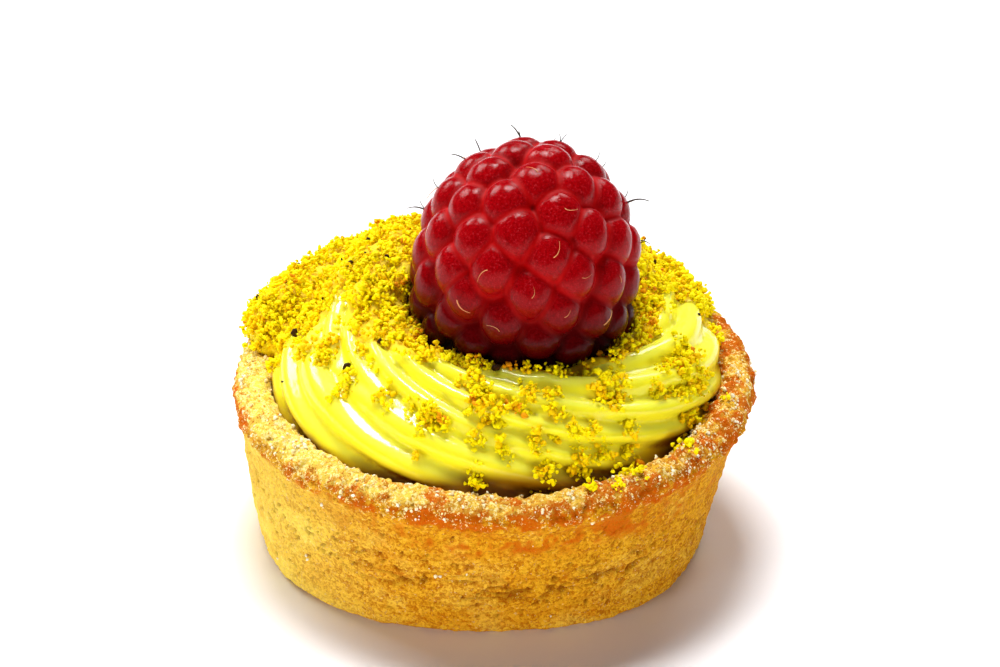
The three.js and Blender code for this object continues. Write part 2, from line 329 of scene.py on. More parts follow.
def face_outwards(mesh):
    """Merges doubles and turns every face outwards."""
    work = bmesh.new()
    work.from_mesh(mesh)
    bmesh.ops.remove_doubles(work, verts=work.verts, dist=1e-6)
    bmesh.ops.recalc_face_normals(work, faces=work.faces)
    keep_mesh(work, mesh).update()


def settle(piece):
    """Makes what the piece's modifiers give its plain mesh, and removes them."""
    bpy.context.view_layer.update()
    graph = bpy.context.evaluated_depsgraph_get()
    made = bpy.data.meshes.new_from_object(
        piece.evaluated_get(graph), preserve_all_data_layers=True, depsgraph=graph
    )
    piece.modifiers.clear()
    before = piece.data
    piece.data = made
    made.name = piece.name
    bpy.data.meshes.remove(before)


def discard(helper):
    mesh = helper.data
    bpy.data.objects.remove(helper)
    bpy.data.meshes.remove(mesh)


def finish_piece(piece, slot, *nodes):
    """Ties the piece to its body and hides the solids it replaces; the finish it stands for is not
    used.
    """
    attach(piece, BODY)
    if nodes:
        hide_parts(*nodes)


# Node trees


class Field:
    """A value inside a node tree, with arithmetic that adds the nodes it needs."""

    def __init__(self, tree, socket):
        self.tree = tree
        self.socket = socket

    def maths(self, operation, *others):
        return Field(self.tree, operate(self.tree, "ShaderNodeMath", operation, self, *others))

    def __add__(self, other):
        return self.maths("ADD", other)

    __radd__ = __add__

    def __mul__(self, other):
        return self.maths("MULTIPLY", other)

    __rmul__ = __mul__

    def __sub__(self, other):
        return self.maths("SUBTRACT", other)

    def __rsub__(self, other):
        return (self * -1) + other

    def __truediv__(self, other):
        return self.maths("DIVIDE", other)

    def __pow__(self, other):
        return self.maths("POWER", other)

    def cos(self):
        return self.maths("COSINE")

    def sin(self):
        return self.maths("SINE")

    def absolute(self):
        return self.maths("ABSOLUTE")

    def root(self):
        return self.maths("SQRT")

    def above(self, limit):
        return self.maths("GREATER_THAN", limit)

    def between(self, low, high):
        """0 below low, 1 above high, and a smooth rise between them."""
        node = add_node(
            self.tree,
            "ShaderNodeMapRange",
            {"interpolation_type": "SMOOTHSTEP"},
            Value=self,
            From_Min=low,
            From_Max=high,
        )
        return Field(self.tree, node.outputs["Result"])


def feed(tree, value, socket):
    """Links a field or an output to the socket, or sets a plain value on it."""
    if isinstance(value, Field):
        tree.links.new(value.socket, socket)
    elif isinstance(value, bpy.types.NodeSocket):
        tree.links.new(value, socket)
    else:
        socket.default_value = value


def add_node(tree, kind, settings=None, **inputs):
    """Adds a node, sets its properties, and feeds its inputs by name."""
    node = tree.nodes.new(kind)
    for name, value in (settings or {}).items():
        setattr(node, name, value)
    for name, value in inputs.items():
        feed(tree, value, node.inputs[name.replace("_", " ")])
    return node


def socket_of(sockets, kind, name=None):
    """The first socket of that kind, by name where the node has several."""
    return next(s for s in sockets if s.type == kind and name in (None, s.name))


def operate(tree, kind, operation, *values):
    """What a maths node makes of the values."""
    node = add_node(tree, kind, {"operation": operation})
    for value, socket in zip(values, node.inputs):
        feed(tree, value, socket)
    return node.outputs[0]


def vector_maths(tree, operation, *values):
    return operate(tree, "ShaderNodeVectorMath", operation, *values)


def vector(tree, x, y, z):
    return add_node(tree, "ShaderNodeCombineXYZ", X=x, Y=y, Z=z).outputs[0]


def parts_of(tree, socket):
    node = add_node(tree, "ShaderNodeSeparateXYZ", Vector=socket)
    return [Field(tree, output) for output in node.outputs]


SOCKET_KINDS = {
    "geometry": "NodeSocketGeometry",
    "length": "NodeSocketFloat",
    "number": "NodeSocketFloat",
    "whole": "NodeSocketInt",
    "object": "NodeSocketObject",
    "material": "NodeSocketMaterial",
}


def shape_tree(name, inputs):
    """A Geometry Nodes tree with named inputs; returns it, its inputs as fields and its end."""
    tree = bpy.data.node_groups.new(name, "GeometryNodeTree")
    for label, kind in inputs.items():
        socket = tree.interface.new_socket(label, in_out="INPUT", socket_type=SOCKET_KINDS[kind])
        if kind == "length":
            socket.subtype = "DISTANCE"
    tree.interface.new_socket("Geometry", in_out="OUTPUT", socket_type="NodeSocketGeometry")
    start = tree.nodes.new("NodeGroupInput")
    end = tree.nodes.new("NodeGroupOutput")
    given = {label: Field(tree, start.outputs[label]) for label in inputs}
    return tree, given, end


def shape_with(piece, tree, values):
    """Runs the tree on the piece with those values, and keeps the result as its plain mesh."""
    modifier = piece.modifiers.new("Shape", "NODES")
    modifier.node_group = tree
    for item in tree.interface.items_tree:
        if item.in_out == "INPUT" and item.name in values:
            modifier[item.identifier] = values[item.name]
    settle(piece)


SOCKETS_OF_DATA = {"FLOAT": "VALUE", "FLOAT_VECTOR": "VECTOR"}


def read_mask(tree, name, kind="FLOAT"):
    """What the geometry has stored under that name."""
    node = add_node(tree, "GeometryNodeInputNamedAttribute", {"data_type": kind}, Name=name)
    return Field(tree, socket_of(node.outputs, SOCKETS_OF_DATA[kind], "Attribute"))


def store_mask(tree, geometry, name, value, kind="FLOAT", domain="POINT"):
    """The geometry with that value stored on each of its points or instances."""
    node = add_node(
        tree,
        "GeometryNodeStoreNamedAttribute",
        {"data_type": kind, "domain": domain},
        Geometry=geometry,
        Name=name,
    )
    feed(tree, value, socket_of(node.inputs, SOCKETS_OF_DATA[kind], "Value"))
    return node.outputs[0]


def random_number(tree, low, high, seed):
    """A number between low and high for each element."""
    node = add_node(tree, "FunctionNodeRandomValue", {"data_type": "FLOAT"}, Seed=seed)
    for value, name in ((low, "Min"), (high, "Max")):
        feed(tree, value, socket_of(node.inputs, "VALUE", name))
    return Field(tree, socket_of(node.outputs, "VALUE"))


def scaled(tree, direction, amount):
    node = add_node(tree, "ShaderNodeVectorMath", {"operation": "SCALE"}, Scale=amount)
    feed(tree, direction, node.inputs[0])
    return node.outputs[0]


def position(tree):
    return tree.nodes.new("GeometryNodeInputPosition").outputs[0]


def close_tree(tree, end, geometry, material):
    """Ends a tree as plain geometry with its material."""
    real = add_node(tree, "GeometryNodeRealizeInstances", Geometry=geometry)
    painted = add_node(tree, "GeometryNodeSetMaterial", Geometry=real.outputs[0], Material=material)
    feed(tree, painted.outputs[0], end.inputs[0])


# Finishes


def new_finish(name):
    """A material with only its shader and output, and Object coordinates."""
    finish = bpy.data.materials.new(name)
    finish.use_nodes = True
    tree = finish.node_tree
    tree.nodes.clear()
    shader = tree.nodes.new("ShaderNodeBsdfPrincipled")
    output = tree.nodes.new("ShaderNodeOutputMaterial")
    tree.links.new(shader.outputs[0], output.inputs[0])
    place = tree.nodes.new("ShaderNodeTexCoord").outputs["Object"]
    return finish, tree, shader, place


def noise(tree, place, scale, detail=3.0, roughness=0.55):
    """Noise from 0 to 1 over about 1 / scale metres."""
    node = add_node(
        tree, "ShaderNodeTexNoise", Vector=place, Scale=scale, Detail=detail, Roughness=roughness
    )
    return Field(tree, node.outputs["Fac"])


def blend_colour(tree, share, first, second):
    """first where share is 0, second where it is 1."""
    node = add_node(tree, "ShaderNodeMix", {"data_type": "RGBA"}, Factor=share)
    for value, name in ((first, "A"), (second, "B")):
        socket = socket_of(node.inputs, "RGBA", name)
        feed(tree, (*value, 1.0) if isinstance(value, tuple) else value, socket)
    return socket_of(node.outputs, "RGBA")


def masks(tree, *names):
    """The values that the mesh has stored under those names."""
    nodes = [add_node(tree, "ShaderNodeAttribute", {"attribute_name": name}) for name in names]
    return [Field(tree, node.outputs["Fac"]) for node in nodes]


def set_shader(shader, specular, weight=0.0, radius=(1.0, 1.0, 1.0), scale=0.0):
    """How much the surface reflects, and the light that scatters below it."""
    shader.inputs["Specular IOR Level"].default_value = specular
    if weight:
        shader.inputs["Subsurface Weight"].default_value = weight
        shader.inputs["Subsurface Radius"].default_value = radius
        shader.inputs["Subsurface Scale"].default_value = scale


def bump(tree, shader, height, distance, strength=1.0):
    node = add_node(tree, "ShaderNodeBump", Height=height, Distance=distance, Strength=strength)
    tree.links.new(node.outputs["Normal"], shader.inputs["Normal"])


GRAIN_OUTPUTS = ("Tone", "Chance", "Dark", "Height")


def crumb_group():
    """The broken grain of baked flour, shared by the crust and every crumb."""
    name = "Baked grain"
    if name in bpy.data.node_groups:
        return bpy.data.node_groups[name]
    tree = bpy.data.node_groups.new(name, "ShaderNodeTree")
    tree.interface.new_socket("Vector", in_out="INPUT", socket_type="NodeSocketVector")
    tree.interface.new_socket("Grain", in_out="INPUT", socket_type="NodeSocketFloat")
    for label in GRAIN_OUTPUTS:
        tree.interface.new_socket(label, in_out="OUTPUT", socket_type="NodeSocketFloat")
    start = tree.nodes.new("NodeGroupInput")
    end = tree.nodes.new("NodeGroupOutput")
    place = start.outputs["Vector"]
    per_metre = Field(tree, start.outputs["Grain"]).maths("POWER", -1.0)
    cells = []
    for share in (1.0, 2.3):
        node = add_node(tree, "ShaderNodeTexVoronoi", Vector=place, Scale=per_metre * share)
        chance, other, _ = parts_of(tree, node.outputs["Color"])
        cells.append((chance, other, 1 - Field(tree, node.outputs["Distance"])))
    (large, large_again, large_round), (small, small_again, small_round) = cells
    fine = noise(tree, place, per_metre * 1.6, 4.0, 0.7)
    broad = noise(tree, place, per_metre * 0.16, 3.0, 0.6)
    tone = large * 0.3 + small * 0.2 + fine * 0.3 + broad * 0.2
    chance = large_again * 0.55 + small * 0.45 + (fine - 0.5) * 0.5
    dark = small_again.between(0.86, 0.95) * small_round.between(0.3, 0.6)
    height = large_round * 0.45 + small_round * 0.2 + fine * 0.35
    for label, value in zip(GRAIN_OUTPUTS, (tone, chance, dark, height)):
        feed(tree, value, end.inputs[label])
    return tree


def grain_of(tree, place, size):
    node = add_node(tree, "ShaderNodeGroup", {"node_tree": crumb_group()}, Vector=place, Grain=size)
    return {name: Field(tree, node.outputs[name]) for name in GRAIN_OUTPUTS}


def crust_finish(settings):
    finish, tree, shader, place = new_finish("Shortcrust")
    grain = grain_of(tree, place, settings.grain)
    brown, pit, light, rim = masks(tree, "brown", "pit", "light", "rim")
    deep, side = tuple(settings.deep_colour), tuple(settings.side_colour)
    dark, pale = tuple(settings.brown_colour), tuple(settings.pale_and_lit_colour)
    burnt_and_pit_shade = tuple(channel * 0.3 for channel in dark)
    # Layers pressed into the dough run round the case
    layers = noise(tree, vector_maths(tree, "MULTIPLY", place, (0.4, 0.4, 1.6)), 900.0, 3.0, 0.65)
    tone = grain["Tone"] * 0.75 + layers * 0.25
    sandy = blend_colour(tree, tone.between(0.34, 0.62), deep, side)
    # Paler where the light mask says: pale clouds, and painted light on the left, the rim's top,
    # the inner wall and the low edge.
    pale_and_lit = (light + (tone - 0.5) * 0.9).between(0.0, 1.2)
    baked = blend_colour(tree, pale_and_lit * 0.8, sandy, pale)
    # The browned rim and patches; on the right they also paint shade.
    browned = (brown + (tone - 0.5) * 0.9).between(0.1, 0.9)
    baked = blend_colour(tree, browned * (0.45 + tone.between(0.35, 0.6) * 0.5), baked, dark)
    # Painted shade darkens the pits' hollows; the dark grains are real dark specks, more of them on
    # the rim.
    pitted = blend_colour(tree, pit * 0.85 + grain["Dark"] * (0.2 + rim * 0.3), baked, burnt_and_pit_shade)
    # Single grains are left pale or catch, most of them on the rim
    pale_grain = light * 0.12 + rim * 0.18 - brown * 0.12 - grain["Chance"] + 0.09
    pale_grain = pale_grain.between(-0.02, 0.03)
    flecked = blend_colour(tree, pale_grain * (0.3 + rim * 0.55), pitted, (1.0, 0.84, 0.36))
    caught = grain["Chance"] - 0.86 + brown * 0.22 + rim * 0.06 - light * 0.06
    caught = caught.between(-0.02, 0.03)
    toasted = blend_colour(tree, caught * (0.4 + rim * 0.35), flecked, dark)
    tree.links.new(toasted, shader.inputs["Base Color"])
    feed(tree, 0.6 + grain["Tone"] * 0.25, shader.inputs["Roughness"])
    set_shader(shader, 0.05, 0.05, (1.0, 0.5, 0.2), 0.5 * MM)
    bump(tree, shader, grain["Height"] * 0.75 + layers * 0.25, 0.26 * MM, 0.9)
    return finish


def cream_finish(settings, crumbs):
    finish, tree, shader, place = new_finish("Piped cream")
    grain = grain_of(tree, place, 0.5 * MM)
    groove, bed, low, flank = masks(tree, "groove", "bed", "low", "flank")
    drift = noise(tree, place, 260.0, 2.0)
    cream = tuple(settings.cream_colour)
    for share, tint in (
        # Painted shade in the grooves, with a random drift
        (groove * 0.75 + drift * 0.15, settings.groove_shade_colour),
        # Painted shade on the outer flanks
        (flank * 0.75, settings.flank_shade_colour),
        # Painted shade where the cream tucks under at the rim
        (low, settings.tuck_shade_colour),
    ):
        cream = blend_colour(tree, share, cream, tuple(tint))
    packed = grain["Tone"].between(0.3, 0.55)
    crumb = blend_colour(tree, packed, tuple(crumbs.golden), tuple(settings.bed_colour))
    covered = (bed + (grain["Tone"] - 0.5) * 0.5).between(0.42, 0.58)
    colour_now = blend_colour(tree, covered, cream, crumb)
    tree.links.new(colour_now, shader.inputs["Base Color"])
    feed(tree, 0.11 + covered * 0.6 + drift * 0.08, shader.inputs["Roughness"])
    set_shader(shader, 0.5, 0.6, (1.0, 0.9, 0.15), 1.3 * MM)
    soft = noise(tree, place, 900.0, 2.0) * 0.12
    bump(tree, shader, soft * (1 - covered) + grain["Height"] * covered, 0.25 * MM, 0.7)
    return finish


def berry_finish(settings):
    finish, tree, shader, place = new_finish("Raspberry skin")
    edge, tone, low, up = masks(tree, "share", "tone", "low", "up")
    fine = noise(tree, place, 5600.0, 3.0, 0.8)
    patch = noise(tree, place, 420.0, 2.0)
    deep, glow = tuple(settings.deep_colour), tuple(settings.glow_colour)
    bright, pale = tuple(settings.skin_colour), tuple(settings.speckle_and_sheen_colour)
    skin = blend_colour(tree, tone * 0.2 + fine.between(0.45, 0.65) * 0.45, bright, deep)
    speckled = blend_colour(tree, fine.between(0.44, 0.3) * 0.2, skin, pale)
    # Light that has come through the fruit lights up the creases of its upper half
    creased = blend_colour(tree, edge.between(0.8, 0.97) * 0.8, speckled, glow)
    dimmed = blend_colour(tree, low * (0.9 + edge.between(0.75, 0.97) * 0.1), creased, deep)
    # Painted sheen: a pale reflection along the drupelets' edges where the skin turns away, on the
    # upper, lit ones and not low down.
    grazing = add_node(tree, "ShaderNodeLayerWeight", Blend=0.5)
    outline = Field(tree, grazing.outputs["Facing"]).between(0.72, 0.98)
    lit = up.between(0.1, 0.6)
    sheen = outline * lit * (0.4 + patch.between(0.35, 0.7) * 0.6) * (1 - low * 0.7)
    sheened = blend_colour(tree, sheen * 0.5, dimmed, pale)
    tree.links.new(sheened, shader.inputs["Base Color"])
    feed(tree, 0.07 + patch * 0.09 + edge.between(0.7, 0.95) * 0.5, shader.inputs["Roughness"])
    set_shader(shader, 0.13, 0.15, (1.0, 0.05, 0.03), 0.9 * MM)
    bump(tree, shader, fine, 0.03 * MM, 0.6)
    return finish


def hair_finish(name, tint, tip):
    """A dried style, from its root's colour to its tip's."""
    finish, tree, shader, place = new_finish(name)
    fine = noise(tree, place, 2600.0)
    (along,) = masks(tree, "along")
    blend = along * 0.7 + fine * 0.3
    tree.links.new(blend_colour(tree, blend, tint, tip), shader.inputs["Base Color"])
    feed(tree, 0.4 + fine * 0.2, shader.inputs["Roughness"])
    return finish


def crumb_finish(name, main, deep, size):
    """Cake crumb: each grain has its own tone, and a broken surface."""
    finish, tree, shader, place = new_finish(name)
    grain = grain_of(tree, place, size)
    (tone,) = masks(tree, "tone")
    tint = blend_colour(tree, (tone * 0.75 + grain["Tone"] * 0.5).between(0.7, 1.45), main, deep)
    tree.links.new(tint, shader.inputs["Base Color"])
    feed(tree, 0.45 + grain["Tone"] * 0.25, shader.inputs["Roughness"])
    set_shader(shader, 0.08, 0.15, (1.0, 1.0, 0.2), 0.3 * MM)
    bump(tree, shader, grain["Height"], 0.1 * MM, 0.7)
    return finish


def sugar_finish(settings):
    finish, tree, shader, place = new_finish("Sugar grain")
    (tone,) = masks(tree, "tone")
    fine = noise(tree, place, 2400.0)
    white = tuple(settings.sugar)
    warm = tuple(channel * share for channel, share in zip(white, (1.0, 0.78, 0.36)))
    tint = blend_colour(tree, (tone * 0.8 + fine * 0.3).between(0.2, 1.0), white, warm)
    tree.links.new(tint, shader.inputs["Base Color"])
    feed(tree, 0.25 + fine * 0.25, shader.inputs["Roughness"])
    set_shader(shader, 0.3)
    return finish


# Shape of the crust, in millimetres


def case_swell(angle):
    """The hand-pressed case is not quite round."""
    return (
        1
        + 0.018 * np.cos(2 * angle + 0.2)
        + 0.004 * np.cos(3 * angle - 1.1)
        + 0.002 * np.cos(7 * angle)
    )


def rim_lift(angle):
    """Its rim rises and dips a little."""
    return (
        0.45 * np.cos(angle - 0.7)
        + 0.14 * np.cos(3 * angle + 0.4)
        + 0.08 * np.cos(8 * angle + 2)
    )


def base_square(angle, rise):
    """Its base is a little square."""
    return 0.025 * np.cos(4 * angle) * np.maximum(0, 1 - rise)


def in_mm(settings, *names):
    return [getattr(settings, name) / MM for name in names]


def warp_case(settings, angle, radius, height):
    """A point of the round case, moved as the pressed case has it."""
    rise = height / (settings.rim_height / MM)
    wide = radius * (case_swell(angle) - base_square(angle, rise))
    shift = settings.rim_shift / MM * rise * np.abs(rise)
    return np.stack(
        [
            wide * np.cos(angle) + shift,
            wide * np.sin(angle),
            height + rim_lift(angle) * rise * rise,
        ],
        axis=-1,
    )


def arc(middle, radius, start, end, steps):
    """Points on a circle's arc, angles in radians."""
    return [
        (middle[0] + radius * math.cos(mix(start, end, i / steps)),
         middle[1] + radius * math.sin(mix(start, end, i / steps)))
        for i in range(steps + 1)
    ]


def crust_outline(settings):
    """The case's section, from the middle of its underside round to that of its floor."""
    base, neck, roll = in_mm(settings, "base_radius", "neck_radius", "rim_round")
    rim = in_mm(settings, "rim_radius", "rim_height")
    floor, foot = in_mm(settings, "floor_height", "floor_radius")
    points = [(0, 0), (base - 0.8, 0)]
    points += arc((base - 0.7, 0.8), 0.8, -math.pi / 2, -0.15, 6)
    points += [((base + neck) / 2, rim[1] * 0.42), (neck, rim[1] - roll * 1.15)]
    points += arc(rim, roll, -0.45, math.pi, 28)
    points += [((rim[0] - roll + foot + 2) / 2, (rim[1] + floor) / 2), (foot + 2, floor + 2)]
    points += arc((foot, floor + 2), 2, 0, -math.pi / 2, 6)
    points += [(0, floor)]
    return np.array(points)


def along_outline(outline, spacing):
    """Points along the outline, at a spacing that depends on where they are."""
    legs = np.linalg.norm(np.diff(outline, axis=0), axis=1)
    keep = np.concatenate([[True], legs > 1e-6])
    outline = outline[keep]
    run = np.concatenate([[0], np.cumsum(legs[legs > 1e-6])])
    marks = [0.0]
    while marks[-1] < run[-1]:
        here = np.array([np.interp(marks[-1], run, outline[:, k]) for k in range(2)])
        marks.append(marks[-1] + spacing(*here))
    marks = np.array(marks[:-1] + [run[-1]])
    return np.stack([np.interp(marks, run, outline[:, k]) for k in range(2)], axis=1)


def crust_spacing(radius, height):
    if height < 0.02 and radius < 18:
        return 3.0
    if radius < 19.2 and height < 11:
        return 2.0
    return 0.22


def crust_skin(settings):
    """The case with its sandy side, pits and crumbly rim. Returns points, faces and masks."""
    outline = along_outline(crust_outline(settings), crust_spacing)
    around = 600
    angle = np.linspace(0, 2 * np.pi, around, endpoint=False)
    slope = np.gradient(outline, axis=0)
    outward = np.stack([slope[:, 1], -slope[:, 0]], axis=1)
    outward /= np.linalg.norm(outward, axis=1, keepdims=True) + 1e-9
    # The first and last rows are single points on the axis
    rows = outline[1:-1]
    facing = outward[1:-1]
    radius, theta = np.meshgrid(rows[:, 0], angle, indexing="ij")
    height = np.meshgrid(rows[:, 1], angle, indexing="ij")[0]
    plain = warp_case(settings, theta.ravel(), radius.ravel(), height.ravel())
    radius, height, theta = radius.ravel(), height.ravel(), theta.ravel()
    out_r = np.repeat(facing[:, 0], around)
    out_z = np.repeat(facing[:, 1], around)
    turned = np.stack([out_r * np.cos(theta), out_r * np.sin(theta), out_z], axis=1)

    rim_top = settings.rim_height / MM
    rim = smooth_step(rim_top - 1.6, rim_top - 0.4, height)
    outside = smooth_step(18.5, 20.0, radius)
    upper = smooth_step(0.15, 0.9, height) * outside
    edge = smooth_step(2.2, 0.3, height) * outside
    sandy = layered(plain, 1.0, 3, 3) - 0.5
    gritty = speckle(plain, 0.42, 5) - 0.5
    lumpy = layered(plain, 4.5, 9, 3) - 0.5
    crags = np.abs(layered(plain, 1.6, 21, 2) - 0.5) * 2
    pits = pit_mask(plain, theta, height)
    pressed = layered(plain * np.array([0.45, 0.45, 1.5]), 1.1, 15, 2) - 0.5
    move = upper * (0.22 * sandy + 0.4 * lumpy + 0.14 * gritty + 0.3 * pressed) - 0.42 * pits
    move += rim * (0.5 * sandy + 0.4 * gritty - 0.32 * crags + 0.12)
    move += edge * (0.45 * sandy - 0.1)
    skin = plain + turned * move[:, None]
    skin[:, 2] = np.where(height < 0.02, 0.0, np.maximum(skin[:, 2], 0.0))

    points = np.vstack([[[0, 0, 0]], skin, [[0.05, 0, outline[-1, 1]]]])
    faces = lathe_faces(len(rows), around)
    masks = crust_masks(settings, plain, theta, radius, height, pits)
    masks = {name: np.concatenate([[0], values, [0]]) for name, values in masks.items()}
    return points, faces, masks


def pit_mask(plain, theta, height):
    """Small pits and broken streaks that run round the middle of the side, with a few elsewhere."""
    line = 7.0 + 1.3 * np.sin(2 * theta + 0.8) + 0.6 * np.sin(5 * theta)
    near = np.exp(-(((height - line) / 2.0) ** 2))
    dots = speckle(plain * np.array([1, 1, 1.5]), 0.46, 33)
    holes = 0.8 * smooth_step(0.84 - 0.12 * near, 0.94 - 0.12 * near, dots)
    wave = speckle(plain * np.array([0.42, 0.42, 1.5]), 1.1, 37)
    streak = smooth_step(0.8, 0.96, 1 - np.abs(wave - 0.5) * 2)
    streak = streak * near * smooth_step(0.38, 0.58, speckle(plain, 2.6, 39))
    return np.clip(holes + 0.8 * streak, 0, 1) * smooth_step(1.2, 2.4, height)


def crust_masks(settings, plain, theta, radius, height, pits):
    """How browned, light, pitted and near the rim each point of the crust is; the browning and the
    lightness also hold painted shade and painted light.
    """
    middle = settings.rim_height / MM
    outside = smooth_step(21.4, 22.8, radius)
    band = np.exp(-(((height - middle - 0.1) / 1.1) ** 2)) * outside
    patches = layered(plain, 3.6, 41, 3)
    broken = 0.45 * (speckle(plain, 0.5, 55) - 0.5) + 0.25 * (speckle(plain, 1.3, 56) - 0.5)
    brown = band * smooth_step(0.34, 0.72, patches + 1.3 * broken + 0.06 * np.cos(theta + 0.6))
    top = smooth_step(middle + 0.4, middle + 1.2, height)
    left = smooth_step(-0.1, -0.95, np.cos(theta))
    right = smooth_step(0.3, 0.95, np.cos(theta))
    front = smooth_step(-0.1, -0.9, np.sin(theta)) * (1 - left)
    over = smooth_step(0.4, 0.66, layered(plain, 1.4, 51, 3) + 0.3 * broken)
    # Browned patches on the rim's top; their weighting, more on the right and less on the left, is
    # painted shade on the right and painted light on the left.
    brown += (0.4 + 0.4 * right + 0.3 * front - 0.3 * left) * top * over
    # A browner band just under the rim's roll, kept faint on the left as painted light on that
    # side.
    under = np.exp(-(((height - middle + 2.9) / 1.8) ** 2)) * smooth_step(21.5, 22.5, radius)
    brown += (0.75 - 0.7 * left) * under * smooth_step(0.2, 0.65, patches + 1.4 * broken)
    brown += 0.2 * smooth_step(0.55, 0.7, layered(plain * np.array([0.6, 0.6, 1.4]), 2.4, 58, 3))
    side = smooth_step(20.5, 21.5, radius) * (1 - top)
    clouds = smooth_step(0.45, 0.7, layered(plain, 3.4, 57, 3))
    # Pale clouds on the side, plus painted light that makes the left side paler.
    light = side * (0.3 * clouds + 0.72 * left) * (1 - 0.6 * band)
    # The rim's top is paler, less so at the front and, as painted shade, on the right; the side's
    # lowest edge gets painted light.
    light += (0.8 - 0.4 * right - 0.15 * front) * top + 0.15 * smooth_step(2.5, 0.5, height) * side
    # Painted light on the inner wall, which lies in shade.
    inner = smooth_step(20.9, 20.2, radius) * smooth_step(3, 6, height)
    light += 0.9 * inner
    # More painted light on the left of the rim's top.
    light += 0.4 * left * top
    return {
        "brown": np.clip(brown, 0, 1),
        "light": np.clip(light, 0, 1),
        "pit": pits,
        "rim": smooth_step(middle - 1.4, middle - 0.2, height),
    }


def lathe_faces(rows, around):
    """Faces of a turned skin whose first and last points lie on the axis."""
    ring = np.arange(around)
    following = (ring + 1) % around
    faces = [(0, 1 + b, 1 + a) for a, b in zip(ring, following)]
    for row in range(rows - 1):
        low = 1 + row * around
        high = low + around
        faces += list(zip(low + ring, low + following, high + following, high + ring))
    last = 1 + (rows - 1) * around
    tip = last + around
    faces += [(last + a, last + b, tip) for a, b in zip(ring, following)]
    return faces


# Shape of the cream, in millimetres

# Turns clockwise from the right, distance from the axis, height, and the rope's own radius
ROPE_STATIONS = [
    (0.0, 13.9, 9.2, 5.2),
    (0.09, 14.1, 12.2, 6.0),
    (0.25, 13.9, 14.7, 6.2),
    (0.5, 14.6, 14.8, 6.6),
    (0.75, 14.1, 15.0, 6.4),
    (0.97, 15.1, 15.7, 6.4),
    (1.09, 13.9, 16.4, 6.1),
    (1.25, 12.3, 17.4, 5.8),
    (1.5, 11.7, 18.2, 5.6),
    (1.75, 11.7, 19.0, 5.7),
    (1.93, 11.4, 19.2, 5.1),
    (2.0, 11.0, 18.4, 3.6),
]
LAST_TURN = ROPE_STATIONS[-1][0]

RIDGE_SWAY = 0.016

# Millimetres that the loose grains stand above the bed they lie on
GRAIN_PILE = 0.75

# The crumbs round the berry: millimetres from its axis, and how much further they
# reach on its left, where they run into those behind
COLLAR_START = 10.0
COLLAR_BULGE = 4.2
COLLAR_SIDE = math.radians(190)

# Degrees round the ring, distance from its axis, height and thickness of the heaped crumbs
HEAP_STATIONS = [
    (8, 16.5, 15.0, 2.0),
    (25, 17.8, 15.8, 4.3),
    (50, 18.0, 16.2, 4.6),
    (90, 18.2, 16.2, 4.5),
    (120, 19.0, 16.7, 5.0),
    (150, 20.0, 16.7, 4.8),
    (163, 20.4, 16.4, 4.4),
    (173, 20.4, 15.4, 2.4),
]


def along(stations, place, column):
    """A smooth curve through the stations, at those places along them."""
    stations = np.array(stations)
    marks, values = stations[:, 0], stations[:, column]
    slopes = np.empty(len(marks))
    slopes[1:-1] = (values[2:] - values[:-2]) / (marks[2:] - marks[:-2])
    slopes[0] = (values[1] - values[0]) / (marks[1] - marks[0])
    slopes[-1] = (values[-1] - values[-2]) / (marks[-1] - marks[-2])
    place = np.clip(place, marks[0], marks[-1])
    leg = np.clip(np.searchsorted(marks, place) - 1, 0, len(marks) - 2)
    span = marks[leg + 1] - marks[leg]
    u = (place - marks[leg]) / span
    return (
        values[leg] * (1 + 2 * u) * (1 - u) ** 2
        + values[leg + 1] * u * u * (3 - 2 * u)
        + slopes[leg] * span * u * (1 - u) ** 2
        + slopes[leg + 1] * span * u * u * (u - 1)
    )


def rope_at(turn, column):
    """The rope's radius, height or thickness at a turn."""
    return along(ROPE_STATIONS, turn, column)


